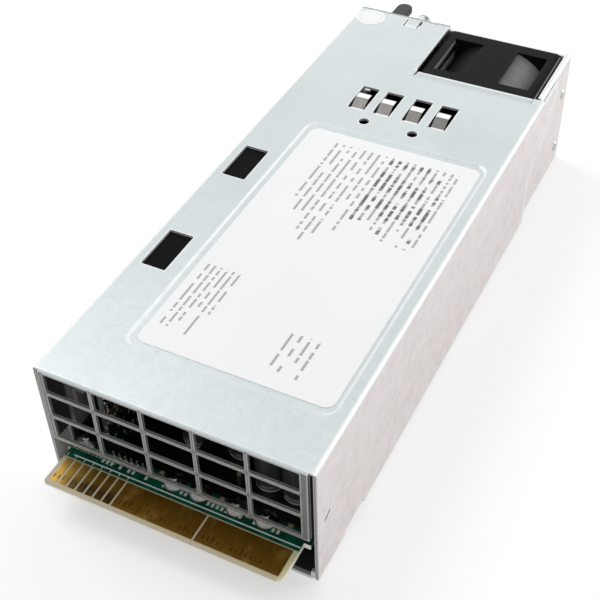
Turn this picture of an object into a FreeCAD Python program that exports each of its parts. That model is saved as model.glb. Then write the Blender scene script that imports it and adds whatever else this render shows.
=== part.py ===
# Hot swap power supply for a server, built as an assembly of separate pieces.
# Millimetres. X is the width, Y the length (card edge at -Y, fan and inlet at +Y), Z is up.
# The origin is at the centre of the housing's bottom face.
import FreeCAD, Part
import math
import os

V = FreeCAD.Vector

# Housing
case_width = 73.5
case_length = 185.0
case_height = 40.0
cover_wall = 0.8
tray_wall = 1.0
panel_wall = 1.0
fold_inside = 0.4          # inside radius of the folds in the sheet metal
sheet_gap = 0.1            # between the cover and the tray that it slides over
grille_setback = 0.7       # the side walls start this far behind the grille's face
cover_floor_gap = 0.4      # the cover's side walls stop this far above the base

# Grille at the card edge end
grille_columns = 5
grille_left_margin = 2.15
grille_right_margin = 2.75
grille_bar = 0.95
grille_row_pitch = 8.0
grille_rows = 3
grille_top_bar = 32.3      # height of the middle of the topmost cross bar
grille_bottom = 15.8
grille_side_gap = 0.55      # more than the fold needs, between the grille's face and the side walls
grille_return = 6.0        # depth of the flange behind each end of the grille

# Cover features
label_width = 52.0
label_length = 96.5
label_x = 5.8
label_y = -25.75
label_border = 1.7
emboss_depth = 0.35
label_thick = 0.12
sticker_radius = 4.8
sticker_x = -30.9
sticker_y = 86.8
window_width = 7.2
window_length = 14.6
window_x = -29.9
window_places = (-43.0, -1.4)
film_thick = 0.25
slot_width = 5.4
slot_length = 12.2
slot_y = 42.1
slot_places = (-13.1, -5.0, 4.2, 12.5)
finger_width = 4.0
spring_thick = 0.3
finger_rise = 0.7          # the fingers' crowns stand this far above the cover
spring_hole_radius = 1.55
spring_hole_places = ((-8.0, 30.9), (7.3, 30.7))

# Circuit board with its card edge
board_thick = 1.6
board_top = 10.0
board_half_width = case_width / 2 - 2.85
board_rear = 61.0
board_inlet_rear = 64.0    # the board reaches further back beside the inlet
card_width = 65.4
card_shift = -0.5
card_reach = 8.9           # how far the card edge stands out of the housing
contact_pitch = 2.54
signal_count = 7
blade_count = 2
contacts_per_blade = 9
contact_gap = 0.6
contact_thick = 0.08
contact_back = 0.3         # the contacts end this far in front of the housing

# Fan
fan_size = 38.0
fan_depth = 28.0
fan_bore = 18.0
fan_flange = 4.2
fan_x = case_width / 2 - 22.35
fan_gap = 0.1
fan_screw_offset = 16.0
hub_radius = 9.8
hub_wall = 1.2
blade_number = 7
blade_tip_gap = 0.6
shaft_radius = 1.0
bearing_clearance = 0.04
bearing_radius = 3.0
cutout_gap = 0.3           # around the fan in the cover

# Inlet, to the C14 outline, turned on its side
inlet_x = -case_width / 2 + 21.15
inlet_z = 18.5
inlet_body_x = 20.0
inlet_body_z = 27.0
inlet_lip = 0.8
inlet_lip_thick = 1.5
inlet_depth = 17.0
inlet_cavity_x = 16.4
inlet_cavity_z = 24.0
inlet_cavity_depth = 15.5
inlet_pin_pitch = 7.0
inlet_pin_offset = 2.0
inlet_pin_wide = 4.0
inlet_pin_thick = 2.0

# Handle
handle_x = -case_width / 2 + 8.95
handle_thick = 2.4
handle_low = 4.0
handle_high = 34.3
handle_reach = 17.6
handle_band = 3.9
handle_leg = 5.0
grip_width = 5.4           # the flat arm along the top of the handle
grip_height = 1.9
grip_shift = 0.5

# Release latch
latch_pivot_y = 38.0
latch_low = 9.0
latch_high = 21.0
latch_thick = 0.8
latch_wall_gap = 0.35
latch_pin_radius = 1.0
latch_pin_clearance = 0.06
knuckle_wall = 0.8
barb_y = 78.0
barb_length = 6.0
barb_out = 2.25            # beyond the outside of the tray wall
latch_tab_thick = 2.2
latch_tab_reach = 15.5
latch_slot_travel = 2.4

# Status light
light_x = -case_width / 2 + 20.15
light_z = 36.0
light_radius = 2.2
light_reach = 7.6          # beyond the rear panel

# Worked out from the above
half_width = case_width / 2
front = -case_length / 2
rear = case_length / 2
side_front = front + grille_setback
cover_under = case_height - cover_wall
tray_half = half_width - cover_wall - sheet_gap
tray_top = cover_under - sheet_gap - 0.2   # clear of the fold's inside radius
tray_inside = tray_half - tray_wall
panel_inside = rear - panel_wall
board_under = board_top - board_thick
card_end = front - card_reach
card_left = card_shift - card_width / 2
card_right = card_shift + card_width / 2
contact_left = card_shift - contact_pitch * (signal_count + blade_count * contacts_per_blade) / 2
fan_z = tray_wall + fan_gap + fan_size / 2
fan_front = panel_inside - fan_depth
fan_left = fan_x - fan_size / 2
fan_right = fan_x + fan_size / 2


# Building blocks ----------------------------------------------------------------------------

def spot(plane, a, b, offset):
    if plane == "XY":
        return V(a, b, offset)
    if plane == "XZ":
        return V(a, offset, b)
    return V(offset, a, b)


def normal(plane):
    return {"XY": V(0, 0, 1), "XZ": V(0, 1, 0), "YZ": V(1, 0, 0)}[plane]


def outline(plane, points, offset=0.0):
    """A closed wire through (a, b) or (a, b, radius) points, each corner rounded by its radius."""
    count = len(points)
    ends = []
    for i in range(count):
        here = V(points[i][0], points[i][1], 0)
        radius = points[i][2] if len(points[i]) > 2 else 0.0
        if radius <= 0:
            ends.append((here, None, here))
            continue
        back = V(points[i - 1][0], points[i - 1][1], 0) - here
        on = V(points[(i + 1) % count][0], points[(i + 1) % count][1], 0) - here
        back.normalize()
        on.normalize()
        half = back.getAngle(on) / 2
        bisector = back + on
        bisector.normalize()
        reach = radius / math.tan(half)
        middle = here + bisector * (radius / math.sin(half) - radius)
        ends.append((here + back * reach, middle, here + on * reach))
    edges = []
    for i in range(count):
        start, middle, end = ends[i]
        following = ends[(i + 1) % count][0]
        at = [spot(plane, p.x, p.y, offset) for p in (start, end, following)]
        if middle is not None:
            edges.append(Part.Arc(at[0], spot(plane, middle.x, middle.y, offset), at[1]).toShape())
        if at[1].distanceToPoint(at[2]) > 1e-6:
            edges.append(Part.LineSegment(at[1], at[2]).toShape())
    return Part.Wire(edges)


def plate(plane, points, start, thick):
    return Part.Face(outline(plane, points, start)).extrude(normal(plane) * thick)


def corners(a0, a1, b0, b1, radius=0.0):
    return [(a0, b0, radius), (a1, b0, radius), (a1, b1, radius), (a0, b1, radius)]


def block(x0, x1, y0, y1, z0, z1, radius=0.0):
    """A block with its upright corners rounded."""
    return plate("XY", corners(x0, x1, y0, y1, radius), z0, z1 - z0)


def rod(x, y, z, radius, length, axis):
    return Part.makeCylinder(radius, length, V(x, y, z), axis)


def upright(x, y, z, radius, height):
    return rod(x, y, z, radius, height, V(0, 0, 1))


def along(x, y, z, radius, length):
    return rod(x, y, z, radius, length, V(0, 1, 0))


def turned(points, centre, axis):
    """A solid of revolution from (radius, distance along the axis) points."""
    side = V(1, 0, 0) if abs(axis.x) < 0.5 else V(0, 1, 0)
    wire = Part.makePolygon([centre + side * r + axis * s for r, s in points + points[:1]])
    return Part.Face(wire).revolve(centre, axis, 360)


def bent_sheet(plane, path, thick, inside, start, length):
    """Sheet metal folded along a path; the thickness lies to the left of the path."""
    count = len(path)
    heads = []
    for i in range(count - 1):
        head = V(path[i + 1][0] - path[i][0], path[i + 1][1] - path[i][1], 0)
        head.normalize()
        heads.append(head)
    near = [(path[0][0], path[0][1])]
    first_left = V(-heads[0].y, heads[0].x, 0)
    far = [(path[0][0] + first_left.x * thick, path[0][1] + first_left.y * thick)]
    for i in range(1, count - 1):
        a, b = heads[i - 1], heads[i]
        turn = a.x * b.y - a.y * b.x
        mitre = V(-a.y - b.y, a.x + b.x, 0)
        mitre.normalize()
        shift = thick / (mitre.x * -a.y + mitre.y * a.x)
        outer, inner = inside + thick, inside
        near.append((path[i][0], path[i][1], outer if turn > 0 else inner))
        far.append((path[i][0] + mitre.x * shift, path[i][1] + mitre.y * shift,
                    inner if turn > 0 else outer))
    last_left = V(-heads[-1].y, heads[-1].x, 0)
    near.append((path[-1][0], path[-1][1]))
    far.append((path[-1][0] + last_left.x * thick, path[-1][1] + last_left.y * thick))
    return plate(plane, near + far[::-1], start, length)


def tube(points, radius, bend):
    """A round wire of straight runs joined by tangent arcs."""
    edges = []
    at = points[0]
    for i in range(1, len(points) - 1):
        back = points[i - 1] - points[i]
        on = points[i + 1] - points[i]
        back.normalize()
        on.normalize()
        half = back.getAngle(on) / 2
        reach = bend / math.tan(half)
        bisector = back + on
        bisector.normalize()
        enter = points[i] + back * reach
        leave = points[i] + on * reach
        middle = points[i] + bisector * (bend / math.sin(half) - bend)
        edges.append(Part.LineSegment(at, enter).toShape())
        edges.append(Part.Arc(enter, middle, leave).toShape())
        at = leave
    edges.append(Part.LineSegment(at, points[-1]).toShape())
    path = Part.Wire(edges)
    head = points[1] - points[0]
    circle = Part.Wire([Part.Circle(points[0], head, radius).toShape()])
    return path.makePipeShell([circle], True, True)


def fused(solids):
    return solids[0].multiFuse(solids[1:]).removeSplitter() if len(solids) > 1 else solids[0]


def without(solid, tools):
    return solid.cut(Part.makeCompound(tools))


parts = {}


def add(name, solids):
    solids = solids if isinstance(solids, list) else [solids]
    parts[name] = solids[0] if len(solids) == 1 else Part.makeCompound(solids)


# Sheet metal --------------------------------------------------------------------------------

fan_wall_top_inner = half_width - 2.5    # inner edge of the wall's top flange beside the fan
strip_front = fan_front + 0.1
barb_window = (barb_y - barb_length / 2 - 1.0, barb_y + barb_length / 2 + 1.2)
rivet_radius = 1.2
rivet_y = panel_inside - 3.5
right_rivets = (7.5, 27.5)
left_rivets = (4.8, 31.0)
left_flanges = ((2.0, 7.6), (22.5, 38.0))
flange_depth = 6.5
standoff_places = ((-half_width + 6.25, -76.0), (half_width - 5.75, -58.0), (-half_width + 5.95, -10.5),
                   (half_width - 5.75, -10.5), (half_width - 6.25, 29.0), (-half_width + 10.35, 60.6))
standoff_across = 5.0
board_screw_radius = 1.45


def make_tray():
    """Bottom and side walls; beside the fan the right wall folds over the top."""
    outer, top = tray_half, tray_top
    u_path = [(-outer, top), (-outer, 0), (outer, 0), (outer, top)]
    tall_path = u_path[:3] + [(outer, case_height), (fan_wall_top_inner, case_height)]
    front_part = bent_sheet("XZ", u_path, tray_wall, fold_inside, side_front, strip_front - side_front)
    rear_part = bent_sheet("XZ", tall_path, tray_wall, fold_inside, strip_front,
                           panel_inside - strip_front)
    tray = fused([front_part, rear_part])
    open_front = block(-case_width, case_width, side_front - 1, side_front + grille_return, 3.0, case_height)
    window = plate("YZ", corners(*barb_window, 10.0, 20.0, 0.8), -outer - 1, 2 * tray_wall)
    holes = [rod(tray_inside - 1, rivet_y, z, rivet_radius, 3, V(1, 0, 0)) for z in right_rivets]
    holes += [rod(-outer - 1, rivet_y, z, rivet_radius, 3, V(1, 0, 0)) for z in left_rivets]
    holes += [rod(-outer - 1, latch_pivot_y - 6.5, z, rivet_radius, 3, V(1, 0, 0))
              for z in latch_rivets]
    screw_holes = [rod(-outer - 1, y, z, cover_screw_radius, 3, V(1, 0, 0))
                   for y, z in cover_screw_places]
    return without(tray, [open_front, window] + holes + screw_holes)


cover_screw_radius = 1.25
cover_screw_head = 2.4
cover_screw_places = ((-70.0, 4.8), (-8.0, 4.8), (44.0, 4.8))
latch_rivets = (12.0, 18.0)
bracket_thick = 0.8
board_notch_x = -case_width / 2 + 6.95      # the board steps in here to clear the latch
board_notch_y = 27.0
side_step = [(54.8, -1), (54.8, 17), (63.4, 21.5), (72, 29), (76, 36)]


def grille_openings():
    """Windows of the grille; the top row ends where the fold into the top face begins."""
    left = -tray_half + grille_left_margin
    right = tray_half - grille_right_margin
    pitch = (right - left + grille_bar) / grille_columns
    tools = []
    for column in range(grille_columns):
        a0 = left + column * pitch
        a1 = a0 + pitch - grille_bar
        for row in range(grille_rows):
            b0 = grille_top_bar + grille_bar / 2 - row * grille_row_pitch
            b1 = b0 + grille_row_pitch - grille_bar
            if row == 0:
                b1 = case_height - cover_wall - 0.1
            tools.append(plate("XZ", corners(a0, a1, b0, b1, 0.3), front - 1, 2 + cover_wall))
    return tools


def make_finger_slots():
    return [block(x - slot_width / 2, x + slot_width / 2, slot_y - slot_length / 2,
                  slot_y + slot_length / 2, cover_under - 1, case_height + 1, 0.3)
            for x in slot_places]


def cover_lance():
    """The bridge near the rear edge: two slits, and the strip between them pushed up."""
    low_y, high_y, low_x, high_x, slit = 86.3, 91.2, -18.9, -14.2, 0.8
    slits = [block(x - slit / 2, x + slit / 2, low_y, high_y, cover_under - 1, case_height + 1, 0.35)
             for x in (low_x, high_x)]
    rise = 0.55
    path = [(low_y - 0.2, case_height), (low_y + 1.0, case_height + rise),
            (high_y - 1.0, case_height + rise), (high_y + 0.2, case_height)]
    bridge = bent_sheet("YZ", path[::-1], cover_wall, 0.8, low_x + slit / 2, high_x - low_x - slit)
    hollow = block(low_x + slit / 2, high_x - slit / 2, low_y + 0.4, high_y - 0.4, cover_under - 1,
                   cover_under + rise)
    return slits, bridge, hollow


def label_recess(right):
    """The shallow pressed panel under the label, with sloping sides."""
    floor = case_height - emboss_depth
    slope, above = 0.5, 0.1
    left = label_x - label_width / 2 - label_border
    low, high = label_y - label_length / 2 - label_border, label_y + label_length / 2 + label_border
    rings = []
    for out, height in ((0, floor), (slope * (1 + above / emboss_depth), case_height + above)):
        rings.append(outline("XY", corners(left - out, right + out, low - out, high + out, 3.0 + out), height))
    return Part.makeLoft(rings, True)


tongue_x = -10.4           # the rear panel's tongue in the cover's rear edge
tongue_width = 2.0


def make_cover():
    """Top, both sides and the grille, folded from one sheet."""
    path = [(half_width, cover_floor_gap), (half_width, case_height), (-half_width, case_height),
            (-half_width, cover_floor_gap)]
    shell = bent_sheet("XZ", path, cover_wall, fold_inside, side_front, case_length - grille_setback)
    face_path = [(side_front + 2.0, case_height), (front, case_height), (front, grille_bottom)]
    flat_half = half_width - cover_wall - fold_inside - grille_side_gap
    face = bent_sheet("YZ", face_path, cover_wall, 0.2, -flat_half, 2 * flat_half)
    returns = []
    for side in (-1, 1):
        bend = [(side * (flat_half - 3), front), (side * flat_half, front),
                (side * flat_half, front + grille_return)]
        sheet = bend if side > 0 else bend[::-1]
        returns.append(bent_sheet("XY", sheet, cover_wall, 0.3, grille_bottom, 38.4 - grille_bottom))
    emboss = label_border - 0.4
    raised = block(label_x - label_width / 2 - label_border - 0.4, label_x + label_width / 2 + emboss,
                   label_y - label_length / 2 - label_border - 0.4,
                   label_y + label_length / 2 + label_border + 0.4,
                   cover_under - emboss_depth, cover_under + 0.1, 3.4)
    ramp_front, ramp_drop = fan_front - 3.6, 0.7
    lip_path = [(ramp_front - 1, case_height), (ramp_front, case_height),
                (fan_front - 0.6, case_height - ramp_drop), (fan_front, case_height - ramp_drop)]
    lip = bent_sheet("YZ", lip_path[::-1], cover_wall, 0.5, fan_left + 0.4, fan_right - fan_left - 0.8)
    slits, bridge, hollow = cover_lance()
    lip_space = block(fan_left, fan_right - 0.1, ramp_front, fan_front + 1, cover_under - 1, case_height + 1)
    shell = shell.cut(lip_space)
    cover = fused([shell, face, raised, lip] + returns)
    hole = block(fan_left - cutout_gap, fan_right + cutout_gap, fan_front, rear + 1, cover_under - 1.5,
                 case_height + 1)
    strip = block(fan_right - 0.6, half_width + 1, strip_front - 0.9, rear + 1, tray_top - 0.1,
                  case_height + 1)
    steps = []
    for side in (-1, 1):
        end = [(rear + 1, 36), (rear + 1, -1)] if side < 0 else \
              [(76, case_height + 1), (rear + 1, case_height + 1), (rear + 1, -1)]
        at = side * (half_width - cover_wall / 2) - 1.6
        steps.append(plate("YZ", side_step + end, at, 3.2))
    recess = label_recess(label_x + label_width / 2 + emboss - 0.4)
    windows = [block(window_x - window_width / 2, window_x + window_width / 2, y - window_length / 2,
                     y + window_length / 2, cover_under - 1, case_height + 1, 0.4)
               for y in window_places]
    holes = [upright(x, y, cover_under - 1, spring_hole_radius, 3) for x, y in spring_hole_places]
    side_slit = plate("YZ", [(-88.2, 18.5, 0.4), (-85.2, 19.8, 0.4), (-85.2, 20.9, 0.4), (-88.2, 19.6, 0.4)],
                      half_width - 2, 3)
    edge_reliefs = [block(-half_width - 1, -half_width + 0.45, y, y + length, 36.4, case_height + 1)
                    for y, length in ((-31.5, 9.7), (43.3, 7.8))]
    notch = block(half_width - 2, half_width + 1, -77.0, -66.5, -1, 1.6)
    screw_holes = [rod(-half_width - 1, y, z, cover_screw_head, 3, V(1, 0, 0))
                   for y, z in cover_screw_places]
    tongue_hole = block(tongue_x - tongue_width / 2 - 0.3, tongue_x + tongue_width / 2 + 0.3,
                        panel_inside - 0.3, rear + 1, cover_under - 1, case_height + 1)
    tools = [hole, strip, recess, side_slit, notch, hollow, tongue_hole]
    tools += steps + grille_openings() + make_finger_slots() + windows + holes + edge_reliefs + slits
    tools += screw_holes
    return without(cover, tools).fuse(bridge).removeSplitter()


def make_cover_screws():
    screws = []
    for y, z in cover_screw_places:
        screws.append(turned([(0, 0), (cover_screw_head - 0.05, 0), (cover_screw_head - 0.05, 0.6),
                              (cover_screw_radius, 0.6), (cover_screw_radius, 3.2), (0, 3.2)],
                             V(-tray_half - 0.6, y, z), V(1, 0, 0)))
    return screws


def make_film():
    return block(-tray_inside + 0.6, -24.0, window_places[0] - 10, window_places[1] + 10,
                 cover_under - film_thick, cover_under, 1.5)


def make_contact_spring():
    """A strip under the cover whose four fingers arch up through the slots."""
    base_top = cover_under
    base_rear = slot_y - slot_length / 2 + 0.3
    base = block(slot_places[0] - 4, slot_places[-1] + 4, base_rear - 8.0, base_rear,
                 base_top - spring_thick, base_top, 1.0)
    crown = case_height + finger_rise
    fingers = []
    for x in slot_places:
        path = [(base_rear + 8.6, 38.1), (base_rear + 7.4, crown), (base_rear + 4.6, crown),
                (base_rear + 1.2, base_top), (base_rear - 1.0, base_top)]
        fingers.append(bent_sheet("YZ", path, spring_thick, 0.55, x - finger_width / 2, finger_width))
    strip = fused([base] + fingers)
    return without(strip, [upright(x, y, base_top - 1, spring_hole_radius, 2)
                           for x, y in spring_hole_places])


def sector(inner, outer, start, sweep, y, depth):
    """Part of a ring about the fan's axis, from a start angle through a sweep, both in degrees."""
    ring = along(0, y, 0, outer, depth).cut(along(0, y, 0, inner, depth))
    reach = 2 * outer
    rays = [V(reach * math.cos(math.radians(a)), y, reach * math.sin(math.radians(a)))
            for a in (start, start + sweep / 2, start + sweep)]
    wedge = Part.Face(Part.makePolygon([V(0, y, 0)] + rays + [V(0, y, 0)]))
    piece = ring.common(wedge.extrude(V(0, depth, 0)))
    piece.translate(V(fan_x, 0, fan_z))
    return piece


def fan_guard_slots():
    slots = []
    width, bar, first = 2.6, 1.1, 3.6
    for ring in range(4):
        inner = first + ring * (width + bar)
        gap = math.degrees(1.5 / (inner + width / 2))
        for quarter in range(4):
            slots.append(sector(inner, min(inner + width, fan_bore - 0.3), 45 + 90 * quarter + gap / 2,
                                90 - gap, panel_inside - 1, 3))
    return slots


def make_rear_panel():
    """The end plate with the fan guard, the inlet cut-out and its mounting flanges."""
    top_left = tray_top
    top_right = tray_top - 0.1
    face = plate("XZ", [(-tray_half, 0.2, 0.8), (tray_half, 0.2, 0.8), (tray_half, top_right, 0.8),
                        (-tray_half, top_left, 0.8)], panel_inside, panel_wall)
    flanges = []
    right_bend = [(tray_inside - 2, rear), (tray_inside, rear), (tray_inside, panel_inside - flange_depth)]
    flanges.append(bent_sheet("XY", right_bend[::-1], panel_wall, 0.2, 3.0, 33.0))
    for low, high in left_flanges:
        left_bend = [(-tray_inside + 2, rear), (-tray_inside, rear),
                     (-tray_inside, panel_inside - flange_depth)]
        flanges.append(bent_sheet("XY", left_bend, panel_wall, 0.2, low, high - low))
    tongue = block(tongue_x - tongue_width / 2, tongue_x + tongue_width / 2, panel_inside, rear,
                   tray_top - 1, case_height - 0.1)
    panel = fused([face, tongue] + flanges)
    lip_gap = 0.1
    tools = fan_guard_slots()
    tools.append(plate("XZ", corners(inlet_x - inlet_body_x / 2 - lip_gap, inlet_x + inlet_body_x / 2 + lip_gap,
                                     inlet_z - inlet_body_z / 2 - lip_gap,
                                     inlet_z + inlet_body_z / 2 + lip_gap, 1.6), panel_inside - 1, 3))
    tools.append(along(light_x, panel_inside - 1, light_z, light_radius + 0.05, 3))
    for x in (-fan_screw_offset, fan_screw_offset):
        for z in (-fan_screw_offset, fan_screw_offset):
            tools.append(along(fan_x + x, panel_inside - 1, fan_z + z, 1.55, 3))
    for low in handle_leg_lows():
        tools.append(block(handle_x - handle_thick / 2 - 0.1, handle_x + handle_thick / 2 + 0.1,
                           panel_inside - 1, rear + 1, low - 0.1, low + handle_leg + 0.8))
    slot_left = -tray_inside - 0.2
    tools.append(plate("XZ", corners(slot_left, arm_x + latch_thick + latch_slot_travel,
                                     latch_low - 1.2, latch_high + 1.2, 0.5), panel_inside - 1, 3))
    tools += [rod(tray_inside - 2, rivet_y, z, rivet_radius, 4, V(1, 0, 0)) for z in right_rivets]
    tools += [rod(-tray_inside - 2, rivet_y, z, rivet_radius, 4, V(1, 0, 0)) for z in left_rivets]
    return without(panel, tools)


def make_rivets():
    """Rivets that hold the rear panel's flanges and the latch bracket to the tray."""
    rivets = []
    head, thick = 1.9, 0.5
    for side, places in ((1, right_rivets), (-1, left_rivets)):
        for z in places:
            grip = tray_wall + panel_wall
            rivets.append(turned([(0, -thick), (head * 0.7, -thick), (head, 0), (rivet_radius, 0),
                                  (rivet_radius, grip), (head * 0.8, grip), (head * 0.6, grip + 0.4),
                                  (0, grip + 0.4)],
                                 V(side * tray_half, rivet_y, z), V(-side, 0, 0)))
    for z in latch_rivets:
        grip = tray_wall + bracket_thick
        rivets.append(turned([(0, 0), (rivet_radius, 0), (rivet_radius, grip), (head * 0.8, grip),
                              (head * 0.6, grip + 0.4), (0, grip + 0.4)],
                             V(-tray_half, latch_pivot_y - 6.5, z), V(1, 0, 0)))
    return rivets


# Handle and latch ---------------------------------------------------------------------------

def handle_leg_lows():
    return (handle_low + 1.4, handle_high - 2.2 - handle_leg)


def make_handle():
    """A flat loop for one finger with a wider arm on top; its legs snap through the rear panel."""
    low, high, out = handle_low, handle_high, rear + handle_reach
    left = handle_x - handle_thick / 2
    loop = plate("YZ", [(rear, low, 1.0), (out, low, 3.6), (out, high, 3.6), (rear, high, 1.0)], left,
                 handle_thick)
    gap = plate("YZ", [(rear + 2.2, low + handle_band, 2.5), (out - handle_band, low + handle_band, 3.0),
                       (out - handle_band, high - handle_band, 3.0), (rear + 2.2, high - handle_band, 2.5)],
                left - 1, handle_thick + 2)
    loop = loop.cut(gap)
    rims = [e for e in loop.Edges if rear + 0.6 < e.BoundBox.YMin and e.BoundBox.XLength < 0.01]
    loop = loop.makeFillet(0.7, rims)
    legs = []
    for low in handle_leg_lows():
        legs.append(plate("YZ", [(rear, low), (rear, low + handle_leg), (panel_inside - 0.2, low + handle_leg),
                                 (panel_inside - 0.2, low + handle_leg + 0.7),
                                 (panel_inside - 2.0, low + handle_leg - 0.4), (panel_inside - 2.0, low)],
                          left, handle_thick))
    middle = handle_x + grip_shift
    grip_left, grip_right = middle - grip_width / 2, middle + grip_width / 2
    round_end = grip_width / 2 - 0.05
    grip = plate("XY", [(left, rear + 2.5), (left + handle_thick, rear + 2.5), (grip_right, rear + 6.0, 2.0),
                        (grip_right, out, round_end), (grip_left, out, round_end),
                        (grip_left, rear + 6.0, 2.0)], high - grip_height, grip_height)
    rims = [e for e in grip.Edges if e.BoundBox.ZMin > high - 0.01 and e.BoundBox.YMax > rear + 3]
    grip = grip.makeFillet(0.6, rims)
    return fused([loop, grip] + legs)


arm_x = -tray_inside + latch_wall_gap       # outer face of the latch arm
knuckle_radius = latch_pin_radius + latch_pin_clearance + knuckle_wall
pin_x = arm_x + knuckle_radius
latch_end = rear + latch_tab_reach


def make_latch_arm():
    """A stamped arm with a rolled eye at the pivot and a barb pressed out near the rear."""
    inner = arm_x + latch_thick
    height = latch_high - latch_low
    arm = plate("YZ", [(latch_pivot_y, latch_low), (barb_y - 8, latch_low), (barb_y - 4, latch_low + 1.0, 2.0),
                       (latch_end - 3, latch_low + 1.0, 1.0), (latch_end - 3, latch_high - 1.0, 1.0),
                       (barb_y - 4, latch_high - 1.0, 2.0), (barb_y - 8, latch_high),
                       (latch_pivot_y, latch_high)], arm_x, latch_thick)
    eye = upright(pin_x, latch_pivot_y, latch_low, knuckle_radius, height)
    bore = upright(pin_x, latch_pivot_y, latch_low - 1, latch_pin_radius + latch_pin_clearance, height + 2)
    tip = -tray_half - barb_out
    barb = plate("XY", [(inner, barb_y - barb_length / 2 - 0.6), (inner, barb_y + barb_length / 2),
                        (tip, barb_y + barb_length / 2, 0.4), (tip, barb_y + barb_length / 2 - 1.6, 0.8)],
                 11.0, 8.0)
    relief = plate("XY", [(inner + 0.1, barb_y - barb_length / 2 + 1.4),
                          (inner + 0.1, barb_y + barb_length / 2 - latch_thick),
                          (tip + latch_thick + 0.3, barb_y + barb_length / 2 - latch_thick)], 10.9, 8.2)
    return fused([arm, eye, barb]).cut(bore).cut(relief)


def make_latch_tab():
    """The moulded finger tab over the end of the arm."""
    outer = arm_x - (latch_tab_thick - latch_thick) / 2
    body = plate("YZ", [(rear + 0.9, latch_low - 0.3, 0.8), (latch_end, latch_low - 0.3, 2.4),
                        (latch_end, latch_high + 0.3, 2.4), (rear + 0.9, latch_high + 0.3, 0.8)],
                 outer, latch_tab_thick)
    rims = [e for e in body.Edges if e.BoundBox.XLength < 0.01]
    body = body.makeFillet(0.5, rims)
    grooves = [plate("XZ", corners(outer + latch_tab_thick - 0.35, outer + latch_tab_thick + 1,
                                   latch_low + 1.0, latch_high - 1.0), latch_end - 3 - 2.2 * i, 1.0)
               for i in range(4)]
    return without(body, grooves).cut(parts["latch_arm"])


def make_latch_bracket():
    """A base on the tray wall with two ears that hold the pivot pin."""
    ear_gap = 2.4              # room above the eye for the spring's coil
    thick = bracket_thick
    low, high = latch_low - 0.2 - thick, latch_high + ear_gap + thick
    back = latch_pivot_y - 9.5
    wall = -tray_inside
    reach = pin_x - wall + 2.2
    path = [(wall + reach, high), (wall, high), (wall, low), (wall + reach, low)]
    shape = bent_sheet("XZ", path, thick, 0.2, back, latch_pivot_y + 2.2 - back)
    window = block(wall - 1, wall + thick + 0.01, latch_pivot_y - 3.0, latch_pivot_y + 3, latch_low - 0.2,
                   latch_high + ear_gap)
    holes = [upright(pin_x, latch_pivot_y, low - 1, latch_pin_radius, high - low + 2)]
    holes += [rod(wall - 1, latch_pivot_y - 6.5, z, rivet_radius, 3, V(1, 0, 0)) for z in latch_rivets]
    trimmed = [block(wall + thick + 0.5, wall + reach + 1, back - 1, latch_pivot_y - 4.5, low - 1, high + 1)]
    return without(shape, [window] + holes + trimmed)


def make_latch_pin():
    low, high = latch_low - 1.0, latch_high + 3.2
    return turned([(0, low - 0.6), (1.7, low - 0.6), (1.7, low), (latch_pin_radius, low),
                   (latch_pin_radius, high), (1.5, high), (1.5, high + 0.5), (0, high + 0.5)],
                  V(pin_x, latch_pivot_y, 0), V(0, 0, 1))


def make_latch_spring():
    """A torsion spring round the pin: one leg bears on the arm, the other on the bracket."""
    wire, coil, turns, pitch = 0.25, 1.55, 2, 0.7
    low = latch_high + 0.35 + wire
    leg_x = arm_x + latch_thick + wire
    reach = math.sqrt(coil ** 2 - (leg_x - pin_x) ** 2)
    rings = [Part.makeTorus(coil, wire, V(pin_x, latch_pivot_y, low + pitch * i)) for i in range(turns)]
    joins = [upright(pin_x + coil, latch_pivot_y, low + pitch * i, wire * 0.9, pitch)
             for i in range(turns - 1)]
    start, end = latch_pivot_y + reach - 0.2, latch_pivot_y + 7.0
    arm_leg = tube([V(leg_x, start, low), V(leg_x, end, low), V(leg_x, end, latch_high - 3.0)], wire, 0.8)
    top = low + pitch * (turns - 1)
    base_x = -tray_inside + bracket_thick + 0.3 + wire
    base_leg = tube([V(leg_x, latch_pivot_y - reach + 0.2, top), V(base_x, latch_pivot_y - 4.2, top),
                     V(base_x, latch_pivot_y - 8.6, top)], wire, 1.0)
    return fused(rings + joins + [arm_leg, base_leg])


# Fan ----------------------------------------------------------------------------------------

rotor_front = fan_front + 2.5
rotor_length = 19.5
strut_front = rotor_front + rotor_length + 0.8
tube_outer = bearing_radius + 0.9


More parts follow.
